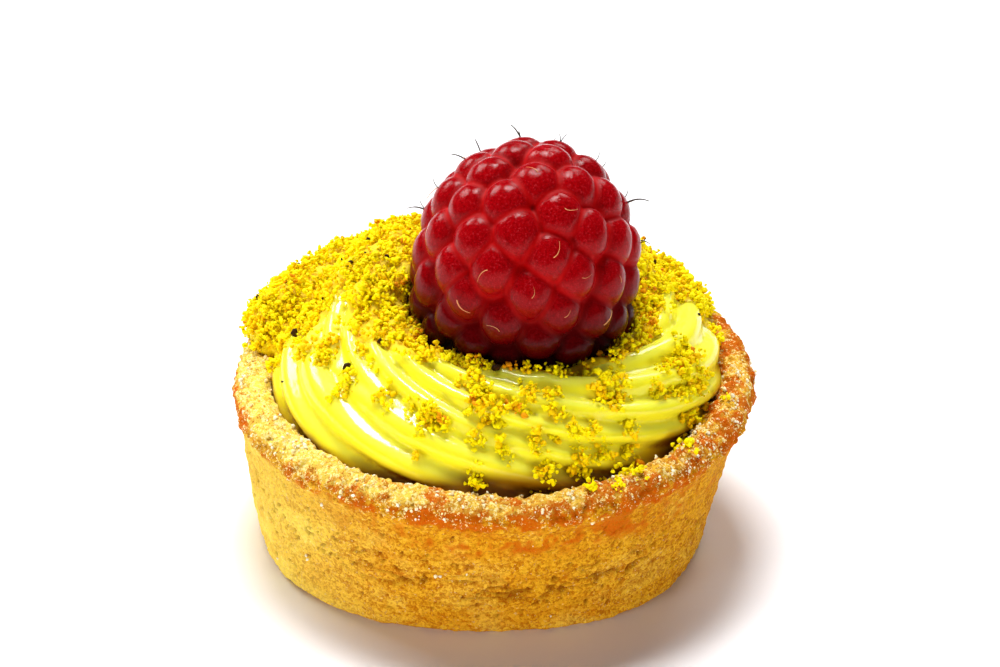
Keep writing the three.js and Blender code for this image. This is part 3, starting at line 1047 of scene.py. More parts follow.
def rope_tree():
    """Sweeps the nozzle's star section along a path, turning as it goes."""
    tree, given, end = shape_tree(
        "Piped rope",
        {
            "Path": "geometry",
            "Steps": "whole",
            "Section points": "whole",
            "Turns": "number",
            "Ridges": "whole",
            "Ridge depth": "length",
            "Twist": "number",
            "Axis shift": "length",
            "Material": "material",
        },
    )
    grid = add_node(
        tree,
        "GeometryNodeMeshGrid",
        Size_X=1.0,
        Size_Y=1.0,
        Vertices_X=given["Steps"],
        Vertices_Y=given["Section points"],
    )
    here = position(tree)
    x, y, _ = parts_of(tree, here)
    along = x + 0.5
    share = y + 0.5
    row = (along * (given["Steps"] - 1)).maths("ROUND")

    def from_path(kind, value):
        node = add_node(
            tree,
            "GeometryNodeSampleIndex",
            {"data_type": kind},
            Geometry=given["Path"],
            Value=value,
            Index=row,
        )
        return node.outputs[0]

    centre = from_path("FLOAT_VECTOR", here)
    thick = Field(tree, from_path("FLOAT", read_mask(tree, "thickness")))
    cx, cy, _ = parts_of(tree, centre)
    away = vector_maths(tree, "NORMALIZE", vector(tree, cx - given["Axis shift"], cy, 0.0))
    around = (share + given["Twist"] * given["Turns"] * along) * (2 * math.pi)
    sway = (share * (4 * math.pi) - 0.2).sin() * RIDGE_SWAY
    ridge = ((share + sway) * given["Ridges"] * math.pi).cos().absolute()
    wander = noise(tree, vector(tree, share * 9, along * 16, 0.0), 1.0, 2.0)
    depth = given["Ridge depth"] * (0.55 + wander.between(0.3, 0.7) * 0.85)
    inside = (along * (1 - along)).above(1e-6)
    reach = (thick - depth * (1 - ridge) + (wander - 0.5) * 0.35 * MM) * inside
    outwards = scaled(tree, away, reach * around.cos())
    upwards = vector(tree, 0.0, 0.0, reach * around.sin())
    target = vector_maths(tree, "ADD", vector_maths(tree, "ADD", centre, outwards), upwards)
    moved = add_node(
        tree, "GeometryNodeSetPosition", Geometry=grid.outputs["Mesh"], Position=target
    )
    sealed = add_node(
        tree, "GeometryNodeMergeByDistance", Geometry=moved.outputs[0], Distance=0.01 * MM
    )
    close_tree(tree, end, sealed.outputs[0], given["Material"])
    return tree


def rope_path(settings, steps):
    """The rope's middle line as a mesh of points, each with its thickness."""
    turn = np.clip((np.arange(steps) - 1) / (steps - 3), 0, 1) * LAST_TURN
    angle = -2 * np.pi * turn
    radius = rope_at(turn, 1) * MM
    points = np.stack(
        [
            settings.ring_shift + radius * np.cos(angle),
            radius * np.sin(angle),
            rope_at(turn, 2) * MM,
        ],
        axis=1,
    )
    path = mesh_object("rope_path", points, [])
    add_mask(path.data, "thickness", rope_at(turn, 3) * MM)
    return path


def round_ring(settings, place):
    """The angle round the ring's axis and the distance from it, for points in millimetres."""
    across = place[:, 0] - settings.ring_shift / MM
    return np.arctan2(place[:, 1], across), np.hypot(across, place[:, 1])


def rope_parameters(settings, place):
    """For points in millimetres: the nearest coil's turn, the angle round it and the depth."""
    angle, radius = round_ring(settings, place)
    first = (-angle / (2 * np.pi)) % 1.0
    best = None
    for coil in (0, 1):
        turn = np.minimum(first + coil, LAST_TURN)
        across = radius - rope_at(turn, 1)
        upward = place[:, 2] - rope_at(turn, 2)
        depth = np.hypot(across, upward) - rope_at(turn, 3)
        around = np.arctan2(upward, across)
        if best is None:
            best = [turn, around, depth]
        else:
            nearer = depth < best[2]
            best = [np.where(nearer, new, old) for new, old in zip((turn, around, depth), best)]
    return best


def crumb_cover(settings, place):
    """How thickly crumbs lie at points in millimetres: packed behind the berry, and round it."""
    angle, radius = round_ring(settings, place)
    right = smooth_step(-0.2, 0.9, np.cos(angle))
    back = np.sin(angle) - 0.2 * right * smooth_step(15, 17, radius)
    behind = smooth_step(-0.12, 0.22, back + 0.3 * (speckle(place, 4.0, 61) - 0.5))
    from_berry = np.hypot(place[:, 0] - BERRY_SHIFT, place[:, 1]) - COLLAR_START
    around = np.arctan2(place[:, 1], place[:, 0] - BERRY_SHIFT)
    beside = np.maximum(0, np.cos(around - COLLAR_SIDE)) ** 4
    broken = 2.4 * (speckle(place, 2.2, 62) - 0.5)
    collar = smooth_step(2.9, 1.0, from_berry - COLLAR_BULGE * beside + broken)
    high = smooth_step(13.4, 15.0, place[:, 2])
    return np.clip(behind + collar, 0, 1) * high


def crumb_heap(settings):
    """The crumbs heaped behind the ring, from the cream out over the case's rim."""
    steps, sides = 60, 20
    first, last = HEAP_STATIONS[0][0], HEAP_STATIONS[-1][0]
    degrees = first + (last - first) * np.clip(np.arange(-1, steps + 2), 0, steps) / steps
    closed = (np.arange(-1, steps + 2) < 0) | (np.arange(-1, steps + 2) > steps)
    around = np.linspace(0, 2 * np.pi, sides, endpoint=False)
    reach = np.where(closed, 0.02, along(HEAP_STATIONS, degrees, 3))
    radius = along(HEAP_STATIONS, degrees, 1)[:, None] + reach[:, None] * np.cos(around)
    height = along(HEAP_STATIONS, degrees, 2)[:, None] + reach[:, None] * np.sin(around)
    angle = np.radians(degrees)[:, None]
    x = settings.ring_shift / MM + radius * np.cos(angle)
    points = np.stack([x, radius * np.sin(angle), height], axis=-1).reshape(-1, 3)
    rows = len(degrees)
    faces = lathe_faces(rows, sides)
    middles = points.reshape(rows, sides, 3).mean(axis=1)
    points = np.vstack([middles[:1], points, middles[-1:]])
    return mesh_object("crumb_heap", points * MM, faces)


def cream_fill(crust):
    """The cream below the ring, which fills the case."""
    floor = crust.floor_height / MM + FILL_GAP
    foot = crust.floor_radius / MM
    wall = crust.rim_radius / MM - crust.rim_round / MM
    profile = [
        (foot - 0.3, floor),
        (foot + 1.2, floor + 2),
        (wall - 0.7, 11.5),
        (wall - 1.0, 12.9),
        (14, 14.2),
        (9.5, 17.5),
    ]
    around = 64
    theta = np.tile(np.linspace(0, 2 * np.pi, around, endpoint=False), len(profile))
    radius = np.repeat([point[0] for point in profile], around)
    height = np.repeat([point[1] for point in profile], around)
    ring = warp_case(crust, theta, radius, height)
    points = np.vstack([[[0, 0, floor]], ring, [[1, 0, 17.5]]])
    return mesh_object("cream_fill", points * MM, lathe_faces(len(profile), around))


def berry_reach(settings, level, inset):
    """How far the berry reaches from its axis at a level above its widest one, in millimetres."""
    crown = settings.crown / MM - inset
    foot = settings.foot / MM - inset
    along = np.where(level > 0, level / crown, level / foot)
    power = np.where(level > 0, 2.3, 3.2)
    inside = np.clip(1 - np.abs(np.clip(along, -1, 1)) ** power, 0, 1)
    return (settings.radius / MM - inset) * np.sqrt(inside)


def press_berry(settings, place, gap):
    """Pushes points out of the hollow that the berry has pressed."""
    level = place[:, 2] - settings.height / MM
    middle = settings.shift / MM + settings.lean * level
    across = place[:, 0] - middle
    reach = np.hypot(across, place[:, 1])
    room = berry_reach(settings, level, -gap)
    foot = -(settings.foot / MM + gap)
    inside = (reach < room) & (level > foot)
    low = inside & (level < foot + 3.0) & (level - foot < room - reach)
    place[low, 2] = settings.height / MM + foot
    side = inside & ~low
    stretch = room[side] / np.maximum(reach[side], 1e-3)
    place[side, 0] = middle[side] + across[side] * stretch
    place[side, 1] = place[side, 1] * stretch
    return place


def press_case(crust, place, gap):
    """Keeps points inside the case's wall, and lifts those that lean out over its rim."""
    rise = place[:, 2] / (crust.rim_height / MM)
    shift = crust.rim_shift / MM * rise * np.abs(rise)
    theta = np.arctan2(place[:, 1], place[:, 0] - shift)
    round_now = case_swell(theta) - base_square(theta, rise)
    radius = np.hypot(place[:, 0] - shift, place[:, 1]) / round_now
    height = place[:, 2] - rim_lift(theta) * rise * rise
    roll, rim_r, rim_z = in_mm(crust, "rim_round", "rim_radius", "rim_height")
    foot = crust.floor_radius / MM + 2
    floor = crust.floor_height / MM
    levels = [floor, floor + 2, rim_z, rim_z + 0.01]
    wall = np.interp(height, levels, [foot - 2, foot, rim_r - roll, 99])
    lifted = np.clip((height - rim_z) / roll, 0, 1)
    over = np.where(height >= rim_z, rim_r - roll * np.sqrt(1 - lifted**2), wall)
    limit = np.where(height > rim_z + roll, 99.0, over) - gap
    leaning = radius > rim_r - 0.6
    outside = (radius > limit) & ~leaning
    stretch = np.where(outside, limit / np.maximum(radius, 1e-6), 1.0)
    place[:, 0] = shift + (place[:, 0] - shift) * stretch
    place[:, 1] = place[:, 1] * stretch
    # Those that lean out are lifted until they lie over the rim's roll
    reach = roll + gap
    bow = np.sqrt(np.maximum(reach**2 - np.minimum(radius - rim_r, reach) ** 2, 0.04))
    short = np.where(leaning, np.maximum(rim_z + bow - height, 0), 0)
    place[:, 2] += short
    return place


# Shape of the berry


def steady_random(seed):
    """Random numbers from 0 to 1, the same ones each time."""
    whole_range = 0xFFFFFFFF
    while True:
        seed = (seed + 0x6D2B79F5) & whole_range
        mixed = (seed ^ (seed >> 15)) * (1 | seed) & whole_range
        more = (mixed ^ (mixed >> 7)) * (61 | mixed) & whole_range
        mixed = ((mixed + more) & whole_range) ^ mixed
        yield (mixed ^ (mixed >> 14)) / (whole_range + 1)


def drupelet_middles(count):
    """The drupelets' middles on a unit ball, in the spirals a berry grows in."""
    golden = math.pi * (3 - math.sqrt(5))
    random = steady_random(11)
    level = 1 - 2 * (np.arange(count) + 0.5) / count
    angle = np.array([i * golden - 0.08 + 0.16 * next(random) for i in range(count)])
    reach = np.sqrt(1 - level**2)
    return np.stack([reach * np.cos(angle), reach * np.sin(angle), level], axis=1)


def drupelet_shares(direction, middles):
    """For each direction its drupelet, how near its crease that is, and how far from its middle."""
    apart = np.linalg.norm(direction[:, None, :] - middles[None, :, :], axis=2)
    order = np.argpartition(apart, 1, axis=1)[:, :2]
    rows = np.arange(len(direction))
    swap = apart[rows, order[:, 0]] > apart[rows, order[:, 1]]
    order[swap] = order[swap][:, ::-1]
    near, far = apart[rows, order[:, 0]], apart[rows, order[:, 1]]
    across = np.linalg.norm(middles[order[:, 0]] - middles[order[:, 1]], axis=1)
    to_crease = (far**2 - near**2) / (2 * across)
    usual = math.sqrt(math.pi / len(middles)) * 1.08
    return order[:, 0], near / (near + to_crease + 1e-9), near / usual


def berry_place(tree, given, direction, inset):
    """The point of the berry in a direction, that far below its outline."""
    x, y, z = parts_of(tree, direction)
    up = z.above(0.0)
    half = given["Foot"] + (given["Crown"] - given["Foot"]) * up - inset
    power = 3.2 + up * (2.3 - 3.2)
    inside = (1 - z.absolute() ** power).maths("MAXIMUM", 0.0)
    reach = (given["Radius"] - inset) * inside.root()
    flat = vector_maths(tree, "NORMALIZE", vector(tree, x, y, 0.0))
    fx, fy, _ = parts_of(tree, flat)
    level = z * half
    sideways = given["Shift"] + given["Lean"] * level + reach * fx
    return vector(tree, sideways, reach * fy, given["Height"] + level)


# Dried styles seen from the front, in half widths of the berry to the right and up:
# those that stand out against the light, and those that lie on the face
STANDING_HAIRS = [
    (-0.79, 0.6), (-0.53, 0.85), (-0.27, 0.96), (-0.02, 1.0), (0.17, 0.98), (0.31, 0.93),
    (0.42, 0.9), (0.72, 0.7), (0.84, 0.54), (-0.94, 0.33), (0.95, 0.3),
]
LYING_HAIRS = [
    (0.4, 0.38), (-0.3, 0.13), (0.1, -0.03), (0.25, -0.01), (0.65, -0.12), (0.44, -0.23),
    (-0.16, -0.26), (-0.06, -0.42), (-0.4, -0.42), (0.52, -0.35), (0.12, 0.68),
]

BERRY_INPUTS = {
    "Geometry": "geometry",
    "Radius": "length",
    "Crown": "length",
    "Foot": "length",
    "Shift": "length",
    "Height": "length",
    "Lean": "number",
    "Crease": "length",
    "Material": "material",
}


def berry_tree():
    """Stretches a ball to the berry's form and sinks the creases between its drupelets."""
    tree, given, end = shape_tree("Raspberry skin", BERRY_INPUTS)
    direction = vector_maths(tree, "NORMALIZE", position(tree))
    share, tone, reach = (read_mask(tree, name) for name in ("share", "tone", "reach"))
    # Each drupelet is the cap of a ball, so two meet in a sharp crease
    spread = (reach * reach * 0.58 + share * share * 0.06).maths("MINIMUM", 0.93)
    dome = (1 - (1 - spread).root()) * 1.95 + share**16.0 * 0.18
    rough = noise(tree, direction, 24.0, 2.0)
    inset = (
        given["Crease"] * dome
        + (tone - 0.5) * 0.3 * MM
        + (0.5 - rough) * 0.22 * MM
        + (1 - share.between(0.0, 0.2)) * 0.04 * MM
    )
    moved = add_node(
        tree,
        "GeometryNodeSetPosition",
        Geometry=given["Geometry"],
        Position=berry_place(tree, given, direction, inset),
    )
    soft = add_node(tree, "GeometryNodeBlurAttribute", {"data_type": "FLOAT_VECTOR"}, Iterations=1)
    feed(tree, position(tree), socket_of(soft.inputs, "VECTOR", "Value"))
    softened = socket_of(soft.outputs, "VECTOR")
    smoothed = add_node(
        tree, "GeometryNodeSetPosition", Geometry=moved.outputs[0], Position=softened
    )
    round_shade = add_node(tree, "GeometryNodeSetShadeSmooth", Geometry=smoothed.outputs[0])
    close_tree(tree, end, round_shade.outputs[0], given["Material"])
    return tree


def hair_tree():
    """Stands a dried style on some of the drupelets, each leaning its own way."""
    leans = {"Least lean": "number", "Most lean": "number"}
    tree, given, end = shape_tree(
        "Raspberry styles", {**BERRY_INPUTS, "Hair": "object", **leans, "Seed": "whole"}
    )
    here = position(tree)
    facing = store_mask(tree, given["Geometry"], "facing", here, "FLOAT_VECTOR")
    placed = add_node(
        tree,
        "GeometryNodeSetPosition",
        Geometry=facing,
        Position=berry_place(tree, given, here, given["Crease"]),
    )
    hair = add_node(
        tree, "GeometryNodeObjectInfo", {"transform_space": "ORIGINAL"}, Object=given["Hair"]
    )
    stand = add_node(
        tree,
        "FunctionNodeAlignEulerToVector",
        {"axis": "Z"},
        Vector=read_mask(tree, "facing", "FLOAT_VECTOR"),
    )
    turn = random_number(tree, 0.0, 6.28, given["Seed"])
    lean = random_number(tree, given["Least lean"], given["Most lean"], given["Seed"] + 1)
    size = random_number(tree, 0.45, 1.1, given["Seed"] + 2)
    spin = add_node(
        tree,
        "FunctionNodeRotateEuler",
        {"space": "LOCAL"},
        Rotation=stand.outputs[0],
        Rotate_By=vector(tree, lean, 0.0, turn),
    )
    planted = add_node(
        tree,
        "GeometryNodeInstanceOnPoints",
        Points=placed.outputs[0],
        Instance=hair.outputs["Geometry"],
        Rotation=spin.outputs[0],
        Scale=vector(tree, size, size, size),
    )
    close_tree(tree, end, planted.outputs[0], given["Material"])
    return tree


def seen_direction(across, up):
    """The direction from the berry's middle to a place seen on it from the front and above."""
    towards = math.sqrt(max(0.0, 1 - across**2 - up**2))
    return (
        across,
        up * math.sin(VIEW_TILT) - towards * math.cos(VIEW_TILT),
        up * math.cos(VIEW_TILT) + towards * math.sin(VIEW_TILT),
    )


def nearest(middles, directions):
    """For each direction the nearest drupelet's middle that isn't taken yet."""
    free = np.ones(len(middles), bool)
    chosen = []
    for direction in directions:
        found = np.argmax(np.where(free, middles @ np.array(direction), -2))
        free[found] = False
        chosen.append(middles[found])
    return chosen


def hair_mesh(long, width, bend):
    """One dried style: a thin tapering thread with a bend."""
    rows, sides = 7, 5
    points = []
    for row in range(rows):
        share = row / (rows - 1)
        thick = width / 2 * (1 - 0.35 * share)
        aside = bend * long * share**2
        height = long * (share - 0.25 * share**2)
        for side in range(sides):
            angle = 2 * math.pi * side / sides
            points.append((aside + thick * math.cos(angle), thick * math.sin(angle), height))
    faces = []
    for low in range(0, (rows - 1) * sides, sides):
        high = low + sides
        for side in range(sides):
            after = (side + 1) % sides
            faces.append((low + side, low + after, high + after, high + side))
    faces.append(tuple(reversed(range(sides))))
    faces.append(tuple(range((rows - 1) * sides, rows * sides)))
    hair = mesh_object("hair_pattern", points, faces)
    add_mask(hair.data, "along", [row / (rows - 1) for row in range(rows) for _ in range(sides)])
    return hair


# Crumbs

# Clumps on the front: degrees round the ring, distance from its axis, width
FRONT_CLUMPS = [
    (-161, 16.4, 1.3),
    (-171, 16.9, 0.9),
    (176, 18.5, 0.9),
    (-163, 14.0, 0.9),
    (-167, 18.8, 0.8),
    (169, 22.1, 0.9),
    (-35, 17.6, 0.8),
    (-144, 17.3, 1.3),
    (-137, 15.5, 0.6),
    (-128, 16.4, 0.9),
    (-147, 14.8, 0.8),
    (-112, 17.0, 1.6),
    (-117, 16.4, 0.9),
    (-106, 16.9, 0.9),
    (-101, 13.2, 1.4),
    (-95, 15.0, 1.4),
    (-91, 16.2, 1.1),
    (-94, 17.8, 1.0),
    (-88, 17.9, 0.9),
    (-85, 15.3, 1.3),
    (-79, 14.5, 0.9),
    (-70, 15.9, 1.4),
    (-77, 18.0, 0.8),
    (-72, 18.2, 0.9),
    (-66, 18.6, 0.9),
    (-59, 18.8, 0.9),
    (-50, 16.2, 1.7),
    (-50, 18.0, 1.1),
    (-29, 18.2, 1.1),
    (-22, 18.9, 1.8),
    (-15, 18.6, 1.5),
    (-28, 19.7, 0.6),
    (-50, 18.8, 0.7),
    (-77, 19.6, 0.8),
    (-66, 21.6, 0.9),
    (-61, 21.8, 0.9),
    (-54, 21.8, 0.7),
    (-37, 21.8, 0.6),
    (-16, 22.2, 0.6),
    (-95, 19.2, 0.5),
]


def clump_cover(place, axis):
    """1 in the middle of each clump on the front, 0 outside them; points in millimetres."""
    cover = np.zeros(len(place))
    broken = 1.0 * (speckle(place, 1.1, 83) - 0.5)
    for degrees, radius, width in FRONT_CLUMPS:
        angle = math.radians(degrees)
        away = np.hypot(
            place[:, 0] - axis - radius * math.cos(angle), place[:, 1] - radius * math.sin(angle)
        )
        cover = np.maximum(cover, smooth_step(width * 1.15, width * 0.55, away + broken))
    return cover


def grain_mesh(name, seed, sharp):
    """A broken grain one unit wide: a ball of twenty faces with its corners pushed about."""
    random = np.random.default_rng(seed)
    work = bmesh.new()
    bmesh.ops.create_icosphere(work, subdivisions=1, radius=0.5)
    for corner in work.verts:
        corner.co *= 1 + sharp * random.uniform(-1, 1)
        corner.co += Vector(random.uniform(-0.5, 0.5, 3)) * sharp * 0.5
    stretch = random.uniform(0.65, 1.2, 3)
    bmesh.ops.scale(work, vec=Vector(stretch), verts=work.verts)
    mesh = keep_mesh(work, bpy.data.meshes.new(name))
    mesh.shade_smooth()
    return new_object(name, mesh)


# Radians round, as the random turns have it, and the width of a crumb's own grain
FULL_TURN = 6.2832
CRUMB_GRAIN = 0.35 * MM


def scatter_tree():
    """Drops clumps of grains on a surface, thicker where its mask says so."""
    tree, given, end = shape_tree(
        "Scattered grains",
        {
            "Surface": "geometry",
            "Per square metre": "number",
            "Clump": "whole",
            "Spread": "length",
            "Pile": "length",
            "Smallest": "length",
            "Largest": "length",
            "Seed": "whole",
            "Grain": "object",
            "Second grain": "object",
            "Material": "material",
        },
    )
    cover = read_mask(tree, "scatter")
    dropped = add_node(
        tree,
        "GeometryNodeDistributePointsOnFaces",
        Mesh=given["Surface"],
        Density=cover * given["Per square metre"],
        Seed=given["Seed"],
    )
    facing = store_mask(
        tree, dropped.outputs["Points"], "facing", dropped.outputs["Normal"], "FLOAT_VECTOR"
    )

    def chance(step, low=0.0, high=1.0):
        return random_number(tree, low, high, given["Seed"] + step)

    many = add_node(
        tree,
        "GeometryNodeDuplicateElements",
        {"domain": "POINT"},
        Geometry=facing,
        Amount=(chance(5, 0.35) * given["Clump"]).maths("CEIL"),
    )
    copy = Field(tree, many.outputs["Duplicate Index"])
    near_middle = copy / (given["Clump"] + 0.01)

    normal = read_mask(tree, "facing", "FLOAT_VECTOR")
    angle = chance(1, 0.0, FULL_TURN)
    far = chance(2).root() * given["Spread"] * (0.3 + near_middle)
    height = chance(3) * given["Pile"] * (1.15 - near_middle)
    level = vector_maths(tree, "CROSS_PRODUCT", normal, (0.31, 0.77, 0.55))
    side = vector_maths(tree, "NORMALIZE", level)
    other = vector_maths(tree, "CROSS_PRODUCT", normal, side)
    along_side = scaled(tree, side, far * angle.cos())
    along_other = scaled(tree, other, far * angle.sin())
    flat = vector_maths(tree, "ADD", along_side, along_other)
    offset = vector_maths(tree, "ADD", flat, scaled(tree, normal, height))
    moved = add_node(
        tree, "GeometryNodeSetPosition", Geometry=many.outputs["Geometry"], Offset=offset
    )

    both = tree.nodes.new("GeometryNodeJoinGeometry")
    for grain in ("Second grain", "Grain"):
        info = add_node(
            tree,
            "GeometryNodeObjectInfo",
            {"transform_space": "ORIGINAL"},
            Object=given[grain],
            As_Instance=True,
        )
        tree.links.new(info.outputs["Geometry"], both.inputs[0])
    size = given["Smallest"] + (given["Largest"] - given["Smallest"]) * (chance(4) ** 1.7)
    laid = add_node(
        tree,
        "GeometryNodeInstanceOnPoints",
        Points=moved.outputs[0],
        Instance=both.outputs[0],
        Pick_Instance=True,
        Rotation=vector(tree, *(chance(step, 0.0, FULL_TURN) for step in (11, 12, 13))),
        Scale=vector(tree, size, size, size),
    )
    tones = store_mask(tree, laid.outputs[0], "tone", chance(6), domain="INSTANCE")
    close_tree(tree, end, tones, given["Material"])
    return tree


def scatter(name, slot, surface, cover, values, patterns, material):
    """A piece of grains laid over a copy of the surface, as thick as cover says."""
    piece = new_object(name, surface.data.copy())
    add_mask(piece.data, "scatter", cover)
    tree = bpy.data.node_groups.get("Scattered grains") or scatter_tree()
    shape_with(
        piece,
        tree,
        {**values, "Grain": patterns[0], "Second grain": patterns[1], "Material": material},
    )
    finish_piece(piece, slot)


# Operators


def piece_named(name):
    if name not in bpy.data.objects:
        raise RuntimeError(f"{name} has to be built first")
    return bpy.data.objects[name]


class TARTLET_OT_stage(bpy.types.Operator):
    """Lays the floor, hangs the lights and sets the camera"""

    bl_idname = "tartlet.stage"
    bl_label = "Stage"

    def execute(self, context):
        settings = context.scene.tartlet_stage
        half = FLOOR_WIDTH / 2
        ends = [(-half, -half, 0), (half, -half, 0), (half, half, 0), (-half, half, 0)]
        floor = mesh_object("stage_floor", ends, [(0, 1, 2, 3)])
        finish, tree, shader, place = new_finish("Pale floor")
        tint = tuple(settings.floor_colour)
        soft = noise(tree, place, 9.0)
        shade = blend_colour(tree, soft * 0.3, tint, tuple(channel * 0.985 for channel in tint))
        tree.links.new(shade, shader.inputs["Base Color"])
        shader.inputs["Roughness"].default_value = 0.55
        set_shader(shader, 0.2)
        floor.data.materials.append(finish)
        self.light_up(context, settings)
        self.aim(context, settings)
        return {"FINISHED"}

    def light_up(self, context, settings):
        world = bpy.data.worlds.new("Surround")
        context.scene.world = world
        world.use_nodes = True
        back = world.node_tree.nodes["Background"]
        back.inputs["Color"].default_value = (*settings.sky_colour, 1.0)
        back.inputs["Strength"].default_value = settings.sky_strength
        for name, spot, size, power, share, reflected in LAMPS:
            lamp = bpy.data.lights.new(name, "AREA")
            lamp.shape = "RECTANGLE"
            lamp.size = size
            lamp.size_y = size * 0.8
            lamp.energy = getattr(settings, power) * share
            holder = new_object(name, lamp)
            holder.location = spot
            holder.visible_glossy = reflected
            aim = LIT_PLACE - Vector(spot)
            holder.rotation_euler = aim.to_track_quat("-Z", "Y").to_euler()
        context.scene.view_settings.view_transform = "Standard"

    def aim(self, context, settings):
        """The photograph's view: from the front and above, turned one degree."""
        target = Vector(VIEWED_PLACE) * MM
        away = settings.elevation
        line = Vector((0, math.cos(away), -math.sin(away)))
        camera = bpy.data.cameras.new("camera")
        camera.lens_unit = "MILLIMETERS"
        camera.sensor_fit = "HORIZONTAL"
        camera.sensor_width = SENSOR_WIDTH
        camera.lens = PIXELS_PER_METRE * settings.distance / PICTURE_WIDTH * SENSOR_WIDTH
        camera.clip_start = 0.01
        camera.clip_end = 20.0
        holder = new_object("camera", camera)
        turn = line.to_track_quat("-Z", "Y").to_matrix().to_4x4()
        roll = Matrix.Rotation(VIEW_ROLL, 4, "Z")
        holder.matrix_world = Matrix.Translation(target - line * settings.distance) @ turn @ roll
        context.scene.camera = holder


class TARTLET_OT_crust(bpy.types.Operator):
    """Builds the baked shortcrust case"""

    bl_idname = "tartlet.crust"
    bl_label = "Shortcrust case"

    def execute(self, context):
        settings = context.scene.tartlet_crust
        points, faces, masks = crust_skin(settings)
        crust = mesh_object("shortcrust", points * MM, faces)
        for name, values in masks.items():
            add_mask(crust.data, name, values)
        crust.data.materials.append(crust_finish(settings))
        finish_piece(crust, "crust", "crust")
        return {"FINISHED"}


class TARTLET_OT_cream(bpy.types.Operator):
    """Pipes the ring of cream and fills the case with it"""

    bl_idname = "tartlet.cream"
    bl_label = "Piped cream"

    def execute(self, context):
        scene = context.scene
        settings = scene.tartlet_cream
        finish = cream_finish(settings, scene.tartlet_crumbs)
        steps = 380
        cream = rope_path(settings, steps)
        cream.name = "piped_cream"
        shape_with(
            cream,
            rope_tree(),
            {
                "Steps": steps,
                "Section points": settings.ridges * 10 + 1,
                "Turns": LAST_TURN,
                "Ridges": settings.ridges,
                "Ridge depth": settings.ridge_depth,
                "Twist": settings.twist,
                "Axis shift": settings.ring_shift,
                "Material": finish,
            },
        )
        face_outwards(cream.data)
        for part in (cream_fill(scene.tartlet_crust), crumb_heap(settings)):
            face_outwards(part.data)
            self.join(cream, part)
        self.fuse(cream)
        self.settle_in(cream, scene)
        cream.data.materials.clear()
        cream.data.materials.append(finish)
        finish_piece(cream, "cream", "cream")
        return {"FINISHED"}

    def join(self, cream, part):
        work = bmesh.new()
        work.from_mesh(cream.data)
        work.from_mesh(part.data)
        keep_mesh(work, cream.data)
        discard(part)

    def fuse(self, cream):
        """Melts the coils, the fill and the heap into one skin."""
        remesh = cream.modifiers.new("Fuse", "REMESH")
        remesh.mode = "VOXEL"
        remesh.voxel_size = CREAM_VOXEL
        remesh.use_smooth_shade = True
        settle(cream)

    def settle_in(self, cream, scene):
        """Lays the crumb bed on, makes room for the berry and the case, and marks the painted shade
        in the grooves, on the outer flanks and where the cream tucks under.
        """
        settings = scene.tartlet_cream
        place, facing = surface_of(cream)
        turn, around, depth = rope_parameters(settings, place)
        share = around / (2 * np.pi) - settings.twist * turn
        share = share + RIDGE_SWAY * np.sin(4 * np.pi * share - 0.2)
        ridge = np.abs(np.cos(settings.ridges * np.pi * share))
        cover = crumb_cover(settings, place)
        top = smooth_step(0.0, 0.5, facing[:, 2])
        lumps = layered(place, 2.4, 71, 2) - 0.5
        angle, radius = round_ring(settings, place)
        behind = smooth_step(-0.15, 0.35, np.sin(angle))
        peak = np.maximum(0, np.cos(angle - 2.7)) ** 2
        right = np.maximum(0, np.cos(angle - 0.75)) ** 3
        on_ring = smooth_step(17.5, 15.0, radius)
        bed = settings.crumb_bed / MM * (1 + 0.9 * peak) * on_ring - GRAIN_PILE + 1.2 * right
        thick = cover * top * (behind * bed + 1.5 * lumps)
        place = place + facing * thick[:, None]
        place = press_case(scene.tartlet_crust, place, CASE_GAP)
        place = press_berry(scene.tartlet_berry, place, BERRY_GAP)
        set_corners(cream.data, place * MM)
        # Painted shade down in the grooves between ridges.
        near = smooth_step(1.2, 0.0, np.abs(depth))
        add_mask(cream.data, "groove", (1 - ridge) ** 1.5 * near * (1 - cover))
        # Painted shade on the outer flanks that face away from the top.
        outward = facing[:, 0] * np.cos(angle) + facing[:, 1] * np.sin(angle)
        flank = smooth_step(0.25, 0.85, outward) * smooth_step(0.95, 0.55, facing[:, 2])
        add_mask(cream.data, "flank", flank * (1 - cover))
        # Painted shade where the cream tucks under at the rim, reaching higher at the front.
        edge = scene.tartlet_crust.rim_height / MM + 1.6
        tucked = smooth_step(0.75, 0.05, facing[:, 2])
        low = smooth_step(0.0, 1.0, (edge + 0.9 - place[:, 2]) / 1.8) * tucked
        deep = 1.8 * np.exp(-(((angle + 1.5) / 0.5) ** 2))
        shade = smooth_step(0.0, 1.0, (edge + deep - place[:, 2]) / 2.0)
        add_mask(cream.data, "low", np.maximum(low, shade) * 0.95)
        add_mask(cream.data, "bed", cover)


